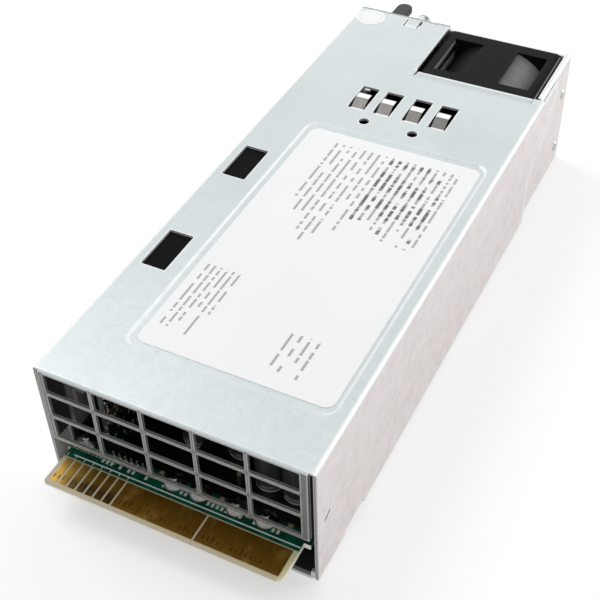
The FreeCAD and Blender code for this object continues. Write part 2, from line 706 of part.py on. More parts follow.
def make_fan_frame():
    """Square flanges, a round duct between them, and struts that carry the motor."""
    half = fan_size / 2
    body = plate("XZ", corners(fan_left, fan_right, fan_z - half, fan_z + half, 2.2), fan_front, fan_depth)
    duct = along(fan_x, fan_front, fan_z, fan_bore + 1.3, fan_depth)
    pockets = []
    for side in (-1, 1):
        for up in (-1, 1):
            a0, a1 = sorted((fan_x + side * 5.6, fan_x + side * 15.4))
            b0, b1 = sorted((fan_z + up * 9.0, fan_z + up * (half + 1)))
            pocket = plate("XZ", corners(a0, a1, b0, b1), fan_front + fan_flange,
                           fan_depth - 2 * fan_flange)
            pockets.append(pocket.cut(duct))
    bore = along(fan_x, fan_front - 1, fan_z, fan_bore, fan_depth + 2)
    screw_holes = [along(fan_x + sx * fan_screw_offset, fan_front - 1, fan_z + sz * fan_screw_offset, 1.5,
                         fan_depth + 2) for sx in (-1, 1) for sz in (-1, 1)]
    shell = without(body, pockets + [bore] + screw_holes)
    base = turned([(0, strut_front + 1.0), (bearing_radius, strut_front + 1.0), (bearing_radius, rotor_front + 6),
                   (tube_outer, rotor_front + 6), (tube_outer, strut_front), (hub_radius, strut_front),
                   (hub_radius, strut_front + 2.4), (hub_radius - 0.6, strut_front + 3.0),
                   (0, strut_front + 3.0)], V(fan_x, 0, fan_z), V(0, 1, 0))
    struts = []
    for i in range(4):
        strut = block(hub_radius - 1, fan_bore + 0.6, strut_front, strut_front + 2.4, -0.9, 0.9)
        strut.rotate(V(0, 0, 0), V(0, 1, 0), 45 + 90 * i)
        strut.translate(V(fan_x, 0, fan_z))
        struts.append(strut)
    return fused([shell, base] + struts)


def blade_section(radius, pitch, chord, camber):
    """A thin arched section of a blade in the plane at this radius, as a wire."""
    tilt = math.radians(pitch)
    along_chord = V(math.cos(tilt), math.sin(tilt), 0)
    across = V(-math.sin(tilt), math.cos(tilt), 0)
    thick = 0.45
    tail, nose = along_chord * (-chord / 2), along_chord * (chord / 2)
    points = [tail + across * -thick, across * (camber - thick), nose + across * -thick,
              nose + across * thick, across * (camber + thick), tail + across * thick]
    at = [V(p.x, p.y, radius) for p in points]
    return Part.Wire([Part.Arc(at[0], at[1], at[2]).toShape(), Part.LineSegment(at[2], at[3]).toShape(),
                      Part.Arc(at[3], at[4], at[5]).toShape(), Part.LineSegment(at[5], at[0]).toShape()])


def make_fan_rotor():
    """The hub cup with its twisted blades."""
    tip = fan_bore - blade_tip_gap
    sections = [blade_section(hub_radius - 1.0, 58, 11.0, 1.2), blade_section(14.0, 47, 13.5, 1.5),
                blade_section(tip + 1.5, 38, 16.0, 1.6)]
    blade = Part.makeLoft(sections, True, False)
    middle = rotor_front + rotor_length / 2
    blades = []
    for i in range(blade_number):
        copy = blade.copy()
        copy.rotate(V(0, 0, 0), V(0, 1, 0), 360.0 * i / blade_number)
        blades.append(copy)
    swept = along(0, -rotor_length / 2 + 1.2, 0, tip, rotor_length - 2.4)
    swept = swept.cut(along(0, -rotor_length, 0, hub_radius - 0.6, 2 * rotor_length))
    fins = [b.common(swept) for b in blades]
    for fin in fins:
        fin.translate(V(fan_x, middle, fan_z))
    inner = hub_radius - hub_wall
    hub = turned([(shaft_radius, 0), (hub_radius - 1.2, 0), (hub_radius, 1.0), (hub_radius, rotor_length),
                  (inner, rotor_length), (inner, 1.8), (2.6, 1.8), (2.6, 5.0), (shaft_radius, 5.0)],
                 V(fan_x, rotor_front, fan_z), V(0, 1, 0))
    return fused([hub] + fins)


def make_fan_shaft():
    return along(fan_x, rotor_front, fan_z, shaft_radius, strut_front - rotor_front + 0.5)


def make_fan_bearings():
    rings = []
    for y in (rotor_front + 6.2, strut_front - 2.0):
        outer = along(fan_x, y, fan_z, bearing_radius, 2.5)
        rings.append(outer.cut(along(fan_x, y - 1, fan_z, shaft_radius + bearing_clearance, 5)))
    return rings


def make_fan_stator():
    """Laminations with four wound teeth on the bearing tube, above a small circuit board."""
    start = rotor_front + 6.5
    core = along(fan_x, start, fan_z, 5.2, 9.0)
    teeth = []
    for i in range(4):
        tooth = block(3.5, 8.0, start, start + 9.0, -1.5, 1.5)
        tooth.rotate(V(0, 0, 0), V(0, 1, 0), 90 * i)
        tooth.translate(V(fan_x, 0, fan_z))
        teeth += [tooth, sector(7.2, 8.3, 90 * i - 33, 66, start + 1.5, 6.0)]
    whole = fused([core] + teeth + [along(fan_x, start + 9.0, fan_z, 8.2, 1.0)])
    return whole.cut(along(fan_x, start - 1, fan_z, tube_outer, 14))


def make_fan_screws():
    screws = []
    for sx in (-1, 1):
        for sz in (-1, 1):
            screws.append(turned([(0, -8.0), (1.5, -8.0), (1.5, 0), (2.4, 0), (2.3, 0.5), (1.7, 0.8), (0, 0.8)],
                                 V(fan_x + sx * fan_screw_offset, rear, fan_z + sz * fan_screw_offset),
                                 V(0, 1, 0)))
    return screws


# Inlet and light ----------------------------------------------------------------------------

inlet_back = rear - inlet_depth
inlet_pins = ((inlet_pin_offset, inlet_pin_pitch), (inlet_pin_offset, -inlet_pin_pitch),
              (-inlet_pin_offset, 0.0))


def inlet_outline(width, height, cut, radius):
    """The inlet's face: a rectangle with two corners cut off beside the earth pin."""
    a, b = width / 2, height / 2
    shape = [(a, -b, radius), (a, b, radius), (-a + cut, b, radius), (-a, b - cut, radius),
             (-a, -b + cut, radius), (-a + cut, -b, radius)]
    return [(inlet_x + p, inlet_z + q, r) for p, q, r in shape]


def inlet_pin_box(pin, y0, y1, wide, thick):
    x, z = inlet_x + pin[0], inlet_z + pin[1]
    return plate("XZ", corners(x - wide / 2, x + wide / 2, z - thick / 2, z + thick / 2, 0.3), y0, y1 - y0)


def make_inlet_body():
    body = plate("XZ", corners(inlet_x - inlet_body_x / 2, inlet_x + inlet_body_x / 2,
                               inlet_z - inlet_body_z / 2, inlet_z + inlet_body_z / 2, 1.5),
                 inlet_back, inlet_depth)
    lip = plate("XZ", corners(inlet_x - inlet_body_x / 2 - inlet_lip, inlet_x + inlet_body_x / 2 + inlet_lip,
                              inlet_z - inlet_body_z / 2 - inlet_lip, inlet_z + inlet_body_z / 2 + inlet_lip,
                              2.0), rear, inlet_lip_thick)
    cavity = plate("XZ", inlet_outline(inlet_cavity_x, inlet_cavity_z, 3.6, 0.8),
                   rear + inlet_lip_thick - inlet_cavity_depth, inlet_cavity_depth + 1)
    cheeks = [plate("XY", [(inlet_x - 4, panel_inside - 0.3), (inlet_x - 4, panel_inside - 5.5),
                           (inlet_x + 4, panel_inside - 5.5), (inlet_x + 4, panel_inside - 0.3)],
                    inlet_z + side * inlet_body_z / 2 - (0 if side > 0 else 0.8), 0.8) for side in (-1, 1)]
    whole = fused([body, lip] + cheeks).cut(cavity)
    return without(whole, [inlet_pin_box(p, inlet_back - 1, rear, inlet_pin_wide, inlet_pin_thick)
                           for p in inlet_pins])


def make_inlet_pins():
    """Blades of the inlet, each with a tab for its lead at the back."""
    pins = []
    for pin in inlet_pins:
        blade = inlet_pin_box(pin, inlet_back - 2, rear - 2.0, inlet_pin_wide, inlet_pin_thick)
        tab = inlet_pin_box(pin, inlet_back - 9, inlet_back - 1.5, inlet_pin_wide, 0.8)
        pins.append(fused([blade, tab]))
    return pins


def make_leads(which):
    """Leads from the inlet's tabs down to the circuit board."""
    leads = []
    for pin, knee, bend in which:
        x, z = inlet_x + pin[0], inlet_z + pin[1]
        start = V(x, inlet_back - 9, z)
        turn = V(x, board_inlet_rear - knee, z)
        leads.append(tube([start, turn, V(x, turn.y, board_top)], 1.1, bend))
    return leads


def make_light_pipe():
    """A clear pipe with a flange behind the panel and a domed end."""
    start = panel_inside - 1.2
    straight = rear + light_reach - 0.9 * light_radius - start
    body = [(0, 0), (light_radius + 0.5, 0), (light_radius + 0.5, 1.2), (light_radius, 1.2),
            (light_radius, straight)]
    steps = 6
    for i in range(1, steps + 1):
        angle = math.radians(90 * i / steps)
        body.append((light_radius * math.cos(angle), straight + 0.9 * light_radius * math.sin(angle)))
    return turned(body, V(light_x, start, light_z), V(0, 1, 0))


def make_status_led():
    base = panel_inside - 1.4
    return turned([(0, 0), (0.9, -0.4), (1.4, -1.2), (1.4, -4.6), (1.7, -4.6), (1.7, -5.4), (0, -5.4)][::-1],
                  V(light_x, base, light_z), V(0, 1, 0))


def make_light_board():
    """A small upright board that carries the light, seated on the inlet's back edge."""
    y = panel_inside - 1.4 - 5.4 - 1.2
    return plate("XZ", corners(light_x - 5, light_x + 5, inlet_z + inlet_body_z / 2, light_z + 2.6, 0.4), y, 1.2)


# Circuit board ------------------------------------------------------------------------------

def make_main_board():
    half, tip = board_half_width, card_end
    shape = [(card_left, tip, 0.8), (card_right, tip, 2.0), (card_right, side_front + 2), (half, side_front + 2),
             (half, board_rear, 1), (fan_left - 0.8, board_rear), (fan_left - 0.8, board_inlet_rear),
             (board_notch_x, board_inlet_rear, 1), (board_notch_x, board_notch_y, 1),
             (-half, board_notch_y, 1), (-half, side_front + 2), (card_left, side_front + 2)]
    board = plate("XY", shape, board_under, board_thick)
    edge = Part.Face(Part.makePolygon([V(0, tip, board_top - 0.5), V(0, tip + 0.9, board_top),
                                       V(0, tip - 1, board_top + 1), V(0, tip, board_top - 0.5)]))
    bevel = edge.extrude(V(case_width, 0, 0))
    bevel.translate(V(-half - 1, 0, 0))
    lower = bevel.mirror(V(0, 0, board_top - board_thick / 2), V(0, 0, 1))
    holes = [upright(x, y, board_under - 1, board_screw_radius + 0.15, 4) for x, y in standoff_places]
    return without(board, [bevel, lower] + holes)


def contact_pair(x0, x1, y0, y1):
    return [block(x0, x1, y0, y1, board_top, board_top + contact_thick),
            block(x0, x1, y0, y1, board_under - contact_thick, board_under)]


def make_signal_contacts():
    pads = []
    for i in range(signal_count):
        x = contact_left + i * contact_pitch
        pads += contact_pair(x + contact_gap / 2, x + contact_pitch - contact_gap / 2, card_end + 1.1,
                             front - contact_back)
    return pads


def make_power_contacts():
    pads = []
    for i in range(blade_count):
        x = contact_left + (signal_count + i * contacts_per_blade) * contact_pitch
        pads += contact_pair(x + contact_gap / 2, x + contacts_per_blade * contact_pitch - contact_gap / 2,
                             card_end + 1.1, front - contact_back)
    return pads


def make_standoffs():
    posts = []
    for x, y in standoff_places:
        ring = [(x + standoff_across / math.sqrt(3) * math.cos(math.radians(60 * i)),
                 y + standoff_across / math.sqrt(3) * math.sin(math.radians(60 * i))) for i in range(6)]
        post = plate("XY", ring, tray_wall, board_under - tray_wall)
        posts.append(post.cut(upright(x, y, tray_wall + 1.5, board_screw_radius, 9)))
    return posts


def make_board_screws():
    return [turned([(0, -4.5), (board_screw_radius, -4.5), (board_screw_radius, 0), (2.5, 0), (2.5, 1.0),
                    (1.7, 1.7), (0, 1.7)], V(x, y, board_top), V(0, 0, 1)) for x, y in standoff_places]


def make_insulator():
    sheet = block(-tray_inside + 1.0, tray_inside - 1.0, side_front + 7, board_rear + 1, tray_wall,
                  tray_wall + 0.3, 2)
    return without(sheet, [upright(x, y, 0, standoff_across * 0.7, 3) for x, y in standoff_places])


solder_places = ((-30.5, -86.3), (-4.0, -87.6), (3.2, -87.6), (13.3, -87.6), (21.2, -87.6))
pin_row_start = -21.8
pin_row_pitch = 1.72
pin_row_y = -87.2


def make_solder_domes():
    domes = []
    for x, y in solder_places:
        domes.append(turned([(0, 0), (2.9, 0), (2.8, 0.5), (2.3, 1.4), (1.5, 2.0), (0, 2.3)],
                            V(x, y, board_top), V(0, 0, 1)))
    return domes


def make_solder_pins():
    return [turned([(0, 0), (0.75, 0), (0.4, 0.9), (0.3, 1.9), (0, 1.9)],
                   V(pin_row_start + i * pin_row_pitch, pin_row_y, board_top), V(0, 0, 1)) for i in range(6)]


def can(x, y, radius, height):
    """An upright electrolytic capacitor with the groove round its foot."""
    r, h = radius, height
    return turned([(0, 0), (r - 0.4, 0), (r, 0.5), (r, 1.6), (r - 0.4, 2.0), (r - 0.4, 2.5), (r, 2.9),
                   (r, h - 0.6), (r - 0.5, h), (r - 1.0, h), (r - 1.1, h - 0.3), (0, h - 0.3)],
                  V(x, y, board_top), V(0, 0, 1))


output_caps = ((-5.4, -71.8, 5.0), (17.0, -77.2, 3.85), (24.9, -77.7, 3.85), (17.0, -66.6, 3.85),
               (25.0, -67.2, 3.85), (6.6, -70.5, 4.8))


def make_control_board():
    """The upright control card at the left, on a header soldered to the main board."""
    card = block(-25.0, -23.4, -85.5, -42.0, board_top + 2.4, 36.5)
    header = block(-26.2, -22.2, -84.0, -60.0, board_top, board_top + 2.4)
    chips = [block(-23.4, -21.6, -70.0, -58.0, 18, 30), block(-23.4, -22.2, -81.5, -76.5, 26, 31),
             block(-23.4, -22.2, -55.0, -47.0, 22, 28)]
    return fused([card, header] + chips)


def make_wall_plate():
    """The folded earthing plate on the left wall, just behind the grille."""
    wall = -tray_inside
    sheet = plate("YZ", [(-85.4, 12.5, 1.0), (-77.0, 12.5, 2.5), (-77.0, 35.0, 2.5), (-85.4, 35.0, 2.5)], wall, 1.2)
    tongue = bent_sheet("XZ", [(wall + 4.6, 26.4), (wall + 1.2, 26.4), (wall + 1.2, 21.0)], 0.8, 0.3, -84.0, 5.0)
    return fused([sheet, tongue])


def make_output_bars():
    """Copper bars on edge, from the transformer to the card edge, with a foot at each end."""
    bars = []
    low, foot, top = board_top, board_top + 3.0, board_top + 8.0
    for x in (0.0, 11.7):
        shape = [(-84.0, low), (-81.5, low), (-81.5, foot), (-61.0, foot), (-61.0, low), (-58.5, low),
                 (-58.5, top, 1.0), (-84.0, top, 1.0)]
        bars.append(plate("YZ", shape, x, 1.1))
    return bars


def make_transformer_core():
    shell = block(-6.0, 28.0, -54.0, -27.0, 12.0, 36.0, 0.8)
    waist = [block(-7.0, 29.0, -49.5, -44.2, 16.5, 31.5), block(-7.0, 29.0, -36.8, -31.5, 16.5, 31.5)]
    gap = without(shell, [block(-1.0, 23.0, -55.0, -26.0, 17.0, 31.0)] + waist)
    post = plate("YZ", [(-47.0, 17.0), (-34.0, 17.0), (-34.0, 31.0), (-47.0, 31.0)], 6.0, 10.0)
    return fused([gap, post])


def make_transformer_winding():
    outer = block(-0.6, 22.6, -56.0, -25.0, 17.4, 30.6, 4.0)
    bobbin = block(1.0, 21.0, -53.0, -28.0, board_top, 12.0, 1.0)
    post = block(6.0, 16.0, -47.0, -34.0, 16.0, 32.0)
    legs = block(3.0, 19.0, -57.2, -54.2, board_top, 17.6)
    return fused([outer, legs]).cut(post), bobbin


def make_choke(x0, x1, y0, y1, height):
    """An E core choke: core halves round a rectangular winding."""
    top = board_top + height
    core = block(x0, x1, y0, y1, board_top + 1.0, top, 0.6)
    side = (x1 - x0) * 0.18
    opening = block(x0 + side, x1 - side, y0 - 1, y1 + 1, board_top + 4.5, top - 4.0)
    core = core.cut(opening)
    coil = block(x0 + side + 0.3, x1 - side - 0.3, y0 - 1.5, y1 + 1.5, board_top + 4.8, top - 4.3, 2.5)
    return core, coil


def make_heat_sink():
    """A comb-like aluminium sink across the board, its fins cut from one profile."""
    base, fin, pitch, count = 2.2, 1.1, 3.75, 16
    points = [(-29.0, -18.0), (29.0, -18.0), (29.0, -18.0 + base)]
    for i in range(count):
        x = 29.0 - i * pitch - 0.6
        points += [(x, -18.0 + base), (x, -18.0 + base + 3.6), (x - fin, -18.0 + base + 3.6),
                   (x - fin, -18.0 + base)]
    points += [(-29.0, -18.0 + base)]
    return plate("XY", points, board_top + 1.2, 25.0)


power_transistor_places = (-22.0, -8.0, 8.0, 22.0)


def make_power_transistors():
    shapes = []
    for x in power_transistor_places:
        body = plate("XZ", corners(x - 5.0, x + 5.0, board_top + 4.0, board_top + 19.0, 0.6), -22.6, 4.4)
        legs = [block(x + d - 0.5, x + d + 0.5, -20.9, -20.2, board_top, board_top + 4.2) for d in (-2.5, 0, 2.5)]
        shapes.append(fused([body] + legs))
    return shapes


bulk_radius = 11.0
bulk_places = (-21.8, 1.2)


def make_bulk_capacitors():
    """Two large electrolytics lying on the board."""
    shapes = []
    r = bulk_radius
    for x in bulk_places:
        shapes.append(turned([(0, 0), (r - 0.6, 0), (r, 0.6), (r, 33.0), (r - 0.7, 33.8), (r - 0.7, 34.6),
                              (r, 35.4), (r, 37.4), (r - 0.6, 38.0), (0, 38.0)],
                             V(x, -8.0, board_top + r), V(0, 1, 0)))
    return shapes


def make_boost_choke():
    """A toroid standing on its edge: core, and a winding of separate turns."""
    centre = V(22.6, 8.0, board_top + 13.2)
    core = turned([(6.6, -4.6), (11.4, -4.6), (11.4, 4.6), (6.6, 4.6)], centre, V(1, 0, 0))
    turns = []
    count = 18
    for i in range(count):
        angle = 30 + 300.0 * i / (count - 1)
        ring = plate("XY", corners(5.1, 12.9, -5.9, 5.9), -0.6, 1.2)
        ring = ring.cut(plate("XY", corners(6.5, 11.5, -4.7, 4.7), -2, 4))
        ring.rotate(V(0, 0, 0), V(0, 1, 0), angle)
        ring.rotate(V(0, 0, 0), V(0, 0, 1), 90)
        ring.translate(centre)
        turns.append(ring)
    return core, turns


def make_line_choke():
    """The common mode choke: a ring core with two windings."""
    centre = V(-18.6, 50.6, board_top + 10.7)
    core = turned([(5.4, -3.6), (9.4, -3.6), (9.4, 3.6), (5.4, 3.6)], centre, V(0, 1, 0))
    coils = []
    for side in (0, 180):
        coil = turned([(3.9, -4.9), (10.4, -4.9), (10.4, 4.9), (3.9, 4.9)], V(0, 0, 0), V(0, 1, 0))
        coil = coil.cut(turned([(5.4, -3.6), (9.4, -3.6), (9.4, 3.6), (5.4, 3.6)], V(0, 0, 0), V(0, 1, 0)))
        keep = Part.Face(Part.makePolygon([V(0, -6, 0), V(30, -6, 22), V(30, -6, -22), V(0, -6, 0)]))
        coil = coil.common(keep.extrude(V(0, 12, 0)))
        coil.rotate(V(0, 0, 0), V(0, 1, 0), side)
        coil.translate(centre)
        coils.append(coil)
    return core, coils


def make_line_capacitor():
    return block(-29.0, -11.0, 32.6, 42.4, board_top, 27.0, 1.0)


def make_safety_capacitors():
    """Disc capacitors from each line to earth."""
    discs = []
    for x in (17.2, 26.8):
        disc = plate("XZ", [(x - 2.0, board_top), (x + 2.0, board_top), (x + 2.0, board_top + 4.0, 1.0),
                            (x - 2.0, board_top + 4.0, 1.0)], 50.0, 1.2)
        round_part = rod(x, 48.6, board_top + 7.4, 4.6, 4.0, V(0, 1, 0))
        discs.append(fused([disc, round_part]))
    return discs


def make_relay():
    return block(-7.6, 4.9, 34.0, 55.0, board_top, 27.0, 0.8)


def make_fuse():
    """The fuse in its two clips."""
    centre = V(9.0, 0, board_top + 4.0)
    fuse = turned([(0, 37.0), (2.8, 37.0), (2.8, 42.0), (2.5, 42.0), (2.5, 52.0), (2.8, 52.0), (2.8, 57.0),
                   (0, 57.0)], centre, V(0, 1, 0))
    clips = []
    for y in (38.0, 53.0):
        clip = block(5.6, 12.4, y, y + 3.0, board_top, board_top + 6.0)
        clips.append(clip.cut(along(9.0, y - 1, board_top + 4.0, 2.8, 5)))
    return fuse, clips


def make_rectifier():
    body = plate("XZ", corners(14.5, 33.0, board_top + 3.0, board_top + 20.0, 1.0), 33.6, 4.0)
    legs = [block(x - 0.6, x + 0.6, 35.2, 36.0, board_top, board_top + 3.2) for x in (17, 21.4, 25.8, 30.2)]
    return fused([body] + legs)


def make_rectifier_sink():
    points = [(14.0, 37.6), (33.4, 37.6), (33.4, 39.4)]
    for i in range(6):
        x = 33.0 - 3.55 * i
        points += [(x, 39.4), (x, 43.6), (x - 1.0, 43.6), (x - 1.0, 39.4)]
    points += [(14.0, 39.4)]
    return plate("XY", points, board_top + 1.0, 24.0)


connector_y = 53.2
connector_left, connector_right = fan_right - 4.8, fan_right + 0.2
fan_lead_radius = 1.3
fan_lead_z = board_top + 3.2


def make_fan_connector():
    """A housing with the wires entering its back, and a latch ramp on its top."""
    body = block(connector_left, connector_right, connector_y, connector_y + 4.6, board_top,
                 board_top + 6.0, 0.4)
    ramp = plate("YZ", [(connector_y + 0.6, board_top + 5.9), (connector_y + 3.4, board_top + 5.9),
                        (connector_y + 3.4, board_top + 7.0)], connector_left + 1.6, 1.8)
    return fused([body, ramp])


def make_fan_lead():
    """The wires in one sleeve, from the fan frame's corner down beside it to the connector."""
    x = fan_right - fan_lead_radius - 0.9
    knee = fan_front - 2.9
    points = [V(x, fan_front, fan_z + 11.4), V(x, knee, fan_z + 11.4), V(x, knee, fan_lead_z),
              V(x, connector_y + 4.6, fan_lead_z)]
    return tube(points, fan_lead_radius, 1.7)


# All pieces ---------------------------------------------------------------------------------

add("chassis_tray", make_tray())
add("top_cover", make_cover())
add("cover_screws", make_cover_screws())
add("window_film", make_film())
add("label", block(label_x - label_width / 2, label_x + label_width / 2, label_y - label_length / 2,
                          label_y + label_length / 2, case_height - emboss_depth,
                          case_height - emboss_depth + label_thick, 2.6))
add("round_sticker", upright(sticker_x, sticker_y, case_height, sticker_radius, 0.08))
add("contact_spring", make_contact_spring())
add("rear_panel", make_rear_panel())
add("rivets", make_rivets())
add("pull_handle", make_handle())
add("latch_arm", make_latch_arm())
add("latch_tab", make_latch_tab())
add("latch_bracket", make_latch_bracket())
add("latch_pin", make_latch_pin())
add("latch_spring", make_latch_spring())
add("fan_frame", make_fan_frame())
add("fan_rotor", make_fan_rotor())
add("fan_shaft", make_fan_shaft())
add("fan_bearings", make_fan_bearings())
add("fan_stator", make_fan_stator())
add("fan_screws", make_fan_screws())
add("fan_connector", make_fan_connector())
add("fan_lead", make_fan_lead())
add("inlet_body", make_inlet_body())
add("inlet_pins", make_inlet_pins())
add("input_leads", make_leads([(inlet_pins[0], 5.4, 4.0), (inlet_pins[1], 1.8, 1.3)]))
add("earth_lead", make_leads([(inlet_pins[2], 1.8, 3.0)]))
add("light_pipe", make_light_pipe())
add("status_led", make_status_led())
add("light_board", make_light_board())
add("main_board", make_main_board())
add("signal_contacts", make_signal_contacts())
add("power_contacts", make_power_contacts())
add("standoffs", make_standoffs())
add("board_screws", make_board_screws())
add("board_insulator", make_insulator())
add("solder_domes", make_solder_domes())
add("solder_pins", make_solder_pins())
add("output_capacitors", [can(x, y, r, 23.5) for x, y, r in output_caps])
add("control_board", make_control_board())
add("wall_plate", make_wall_plate())
add("output_bars", make_output_bars())
add("transformer_core", make_transformer_core())
winding, bobbin = make_transformer_winding()
add("transformer_winding", [winding.cut(parts["transformer_core"]), bobbin])
resonant_core, resonant_coil = make_choke(-32.0, -14.0, -38.0, -24.5, 22.0)
add("resonant_choke_core", resonant_core)
add("resonant_choke_coil", resonant_coil)
add("primary_heat_sink", make_heat_sink())
add("power_transistors", make_power_transistors())
add("bulk_capacitors", make_bulk_capacitors())
boost_core, boost_turns = make_boost_choke()
add("boost_choke_core", boost_core)
add("boost_choke_winding", boost_turns)
line_core, line_coils = make_line_choke()
add("line_choke_core", line_core)
add("line_choke_winding", line_coils)
add("line_capacitor", make_line_capacitor())
add("safety_capacitors", make_safety_capacitors())
add("inrush_relay", make_relay())
fuse, clips = make_fuse()
add("line_fuse", fuse)
add("fuse_clips", clips)
add("rectifier", make_rectifier())
add("rectifier_heat_sink", make_rectifier_sink())

os.makedirs("parts", exist_ok=True)
for name, shape in parts.items():
    shape.exportStep("parts/" + name + ".step")
    print(name, len(shape.Solids), round(shape.Volume, 1), shape.isValid())
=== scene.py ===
import math
import random

import bmesh
import bpy
from mathutils import Matrix, Vector


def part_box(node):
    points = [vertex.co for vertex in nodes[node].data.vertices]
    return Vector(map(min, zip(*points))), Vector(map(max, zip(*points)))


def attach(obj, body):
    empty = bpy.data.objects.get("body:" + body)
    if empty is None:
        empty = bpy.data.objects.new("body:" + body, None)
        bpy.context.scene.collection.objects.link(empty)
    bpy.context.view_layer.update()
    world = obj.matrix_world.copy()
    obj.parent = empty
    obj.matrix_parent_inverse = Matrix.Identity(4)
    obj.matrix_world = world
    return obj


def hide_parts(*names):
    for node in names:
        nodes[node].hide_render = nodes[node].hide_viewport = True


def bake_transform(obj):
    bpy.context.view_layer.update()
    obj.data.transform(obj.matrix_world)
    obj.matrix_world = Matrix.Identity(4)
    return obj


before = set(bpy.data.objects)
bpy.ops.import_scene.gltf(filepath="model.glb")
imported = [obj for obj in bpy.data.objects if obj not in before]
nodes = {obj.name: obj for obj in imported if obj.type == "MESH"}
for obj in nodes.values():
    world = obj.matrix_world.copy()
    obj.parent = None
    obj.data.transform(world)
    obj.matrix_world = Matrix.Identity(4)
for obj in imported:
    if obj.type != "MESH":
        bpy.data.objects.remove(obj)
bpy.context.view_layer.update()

mm = 0.001


def tone(red, green, blue):
    # an 8 bit screen colour as the linear colour that a shader takes
    parts = []
    for level in (red, green, blue):
        share = level / 255
        parts.append(share / 12.92 if share <= 0.04045 else ((share + 0.055) / 1.055) ** 2.4)
    return (*parts, 1.0)


class Wire:
    # a socket that can be written in sums; every sum adds its Math node
    def __init__(self, finish, socket):
        self.finish = finish
        self.socket = socket

    def maths(self, operation, *others, clamp=False):
        values = dict(enumerate((self,) + others))
        return self.finish.node("ShaderNodeMath", {"operation": operation, "use_clamp": clamp}, values)

    def swapped(self, operation, other):
        return self.finish.node("ShaderNodeMath", {"operation": operation}, {0: other, 1: self})

    def __add__(self, other):
        return self.maths("ADD", other)

    def __radd__(self, other):
        return self.maths("ADD", other)

    def __sub__(self, other):
        return self.maths("SUBTRACT", other)

    def __rsub__(self, other):
        return self.swapped("SUBTRACT", other)

    def __mul__(self, other):
        return self.maths("MULTIPLY", other)

    def __rmul__(self, other):
        return self.maths("MULTIPLY", other)

    def __truediv__(self, other):
        return self.maths("DIVIDE", other)

    def __rtruediv__(self, other):
        return self.swapped("DIVIDE", other)

    def __lt__(self, other):
        return self.maths("LESS_THAN", other)

    def __gt__(self, other):
        return self.maths("GREATER_THAN", other)

    def __abs__(self):
        return self.maths("ABSOLUTE")

    def within(self, low, high):
        return (self > low) * (self < high)

    def repeat(self, pitch):
        # saw tooth from 0 to 1 over each pitch
        return (self / pitch).maths("FRACT")

    def step(self, pitch):
        # whole number of pitches
        return (self / pitch).maths("FLOOR")

    def limit(self):
        return self.maths("ADD", 0.0, clamp=True)

    def slope(self, low, high, rise):
        # 0 up to low, then straight up to rise at high
        return self.finish.node("ShaderNodeMapRange", inputs={"Value": self, "From Min": low,
                                                              "From Max": high, "To Max": rise})

    def ramp(self, low, high):
        # 0 at low, 1 at high, smooth between
        return self.finish.node("ShaderNodeMapRange", {"interpolation_type": "SMOOTHSTEP"},
                                {"Value": self, "From Min": low, "From Max": high})


class NodeTree:
    # a material's or the world's nodes
    def __init__(self, tree):
        self.tree = tree

    def node(self, kind, settings=None, inputs=None, out=0):
        made = self.tree.nodes.new(kind)
        for key, value in (settings or {}).items():
            setattr(made, key, value)
        for key, value in (inputs or {}).items():
            if isinstance(value, Wire):
                self.tree.links.new(value.socket, made.inputs[key])
            else:
                made.inputs[key].default_value = value
        return Wire(self, made.outputs[out])

    def show(self, shader, output):
        self.tree.links.new(shader.socket, self.tree.nodes[output].inputs["Surface"])

    def seenDirectly(self):
        # 1 for camera, glossy and transmission rays
        seen = self.node("ShaderNodeLightPath", out="Is Camera Ray")
        rays = seen.socket.node.outputs
        for kind in ("Is Glossy Ray", "Is Transmission Ray"):
            seen = seen.maths("MAXIMUM", Wire(self, rays[kind]))
        return seen


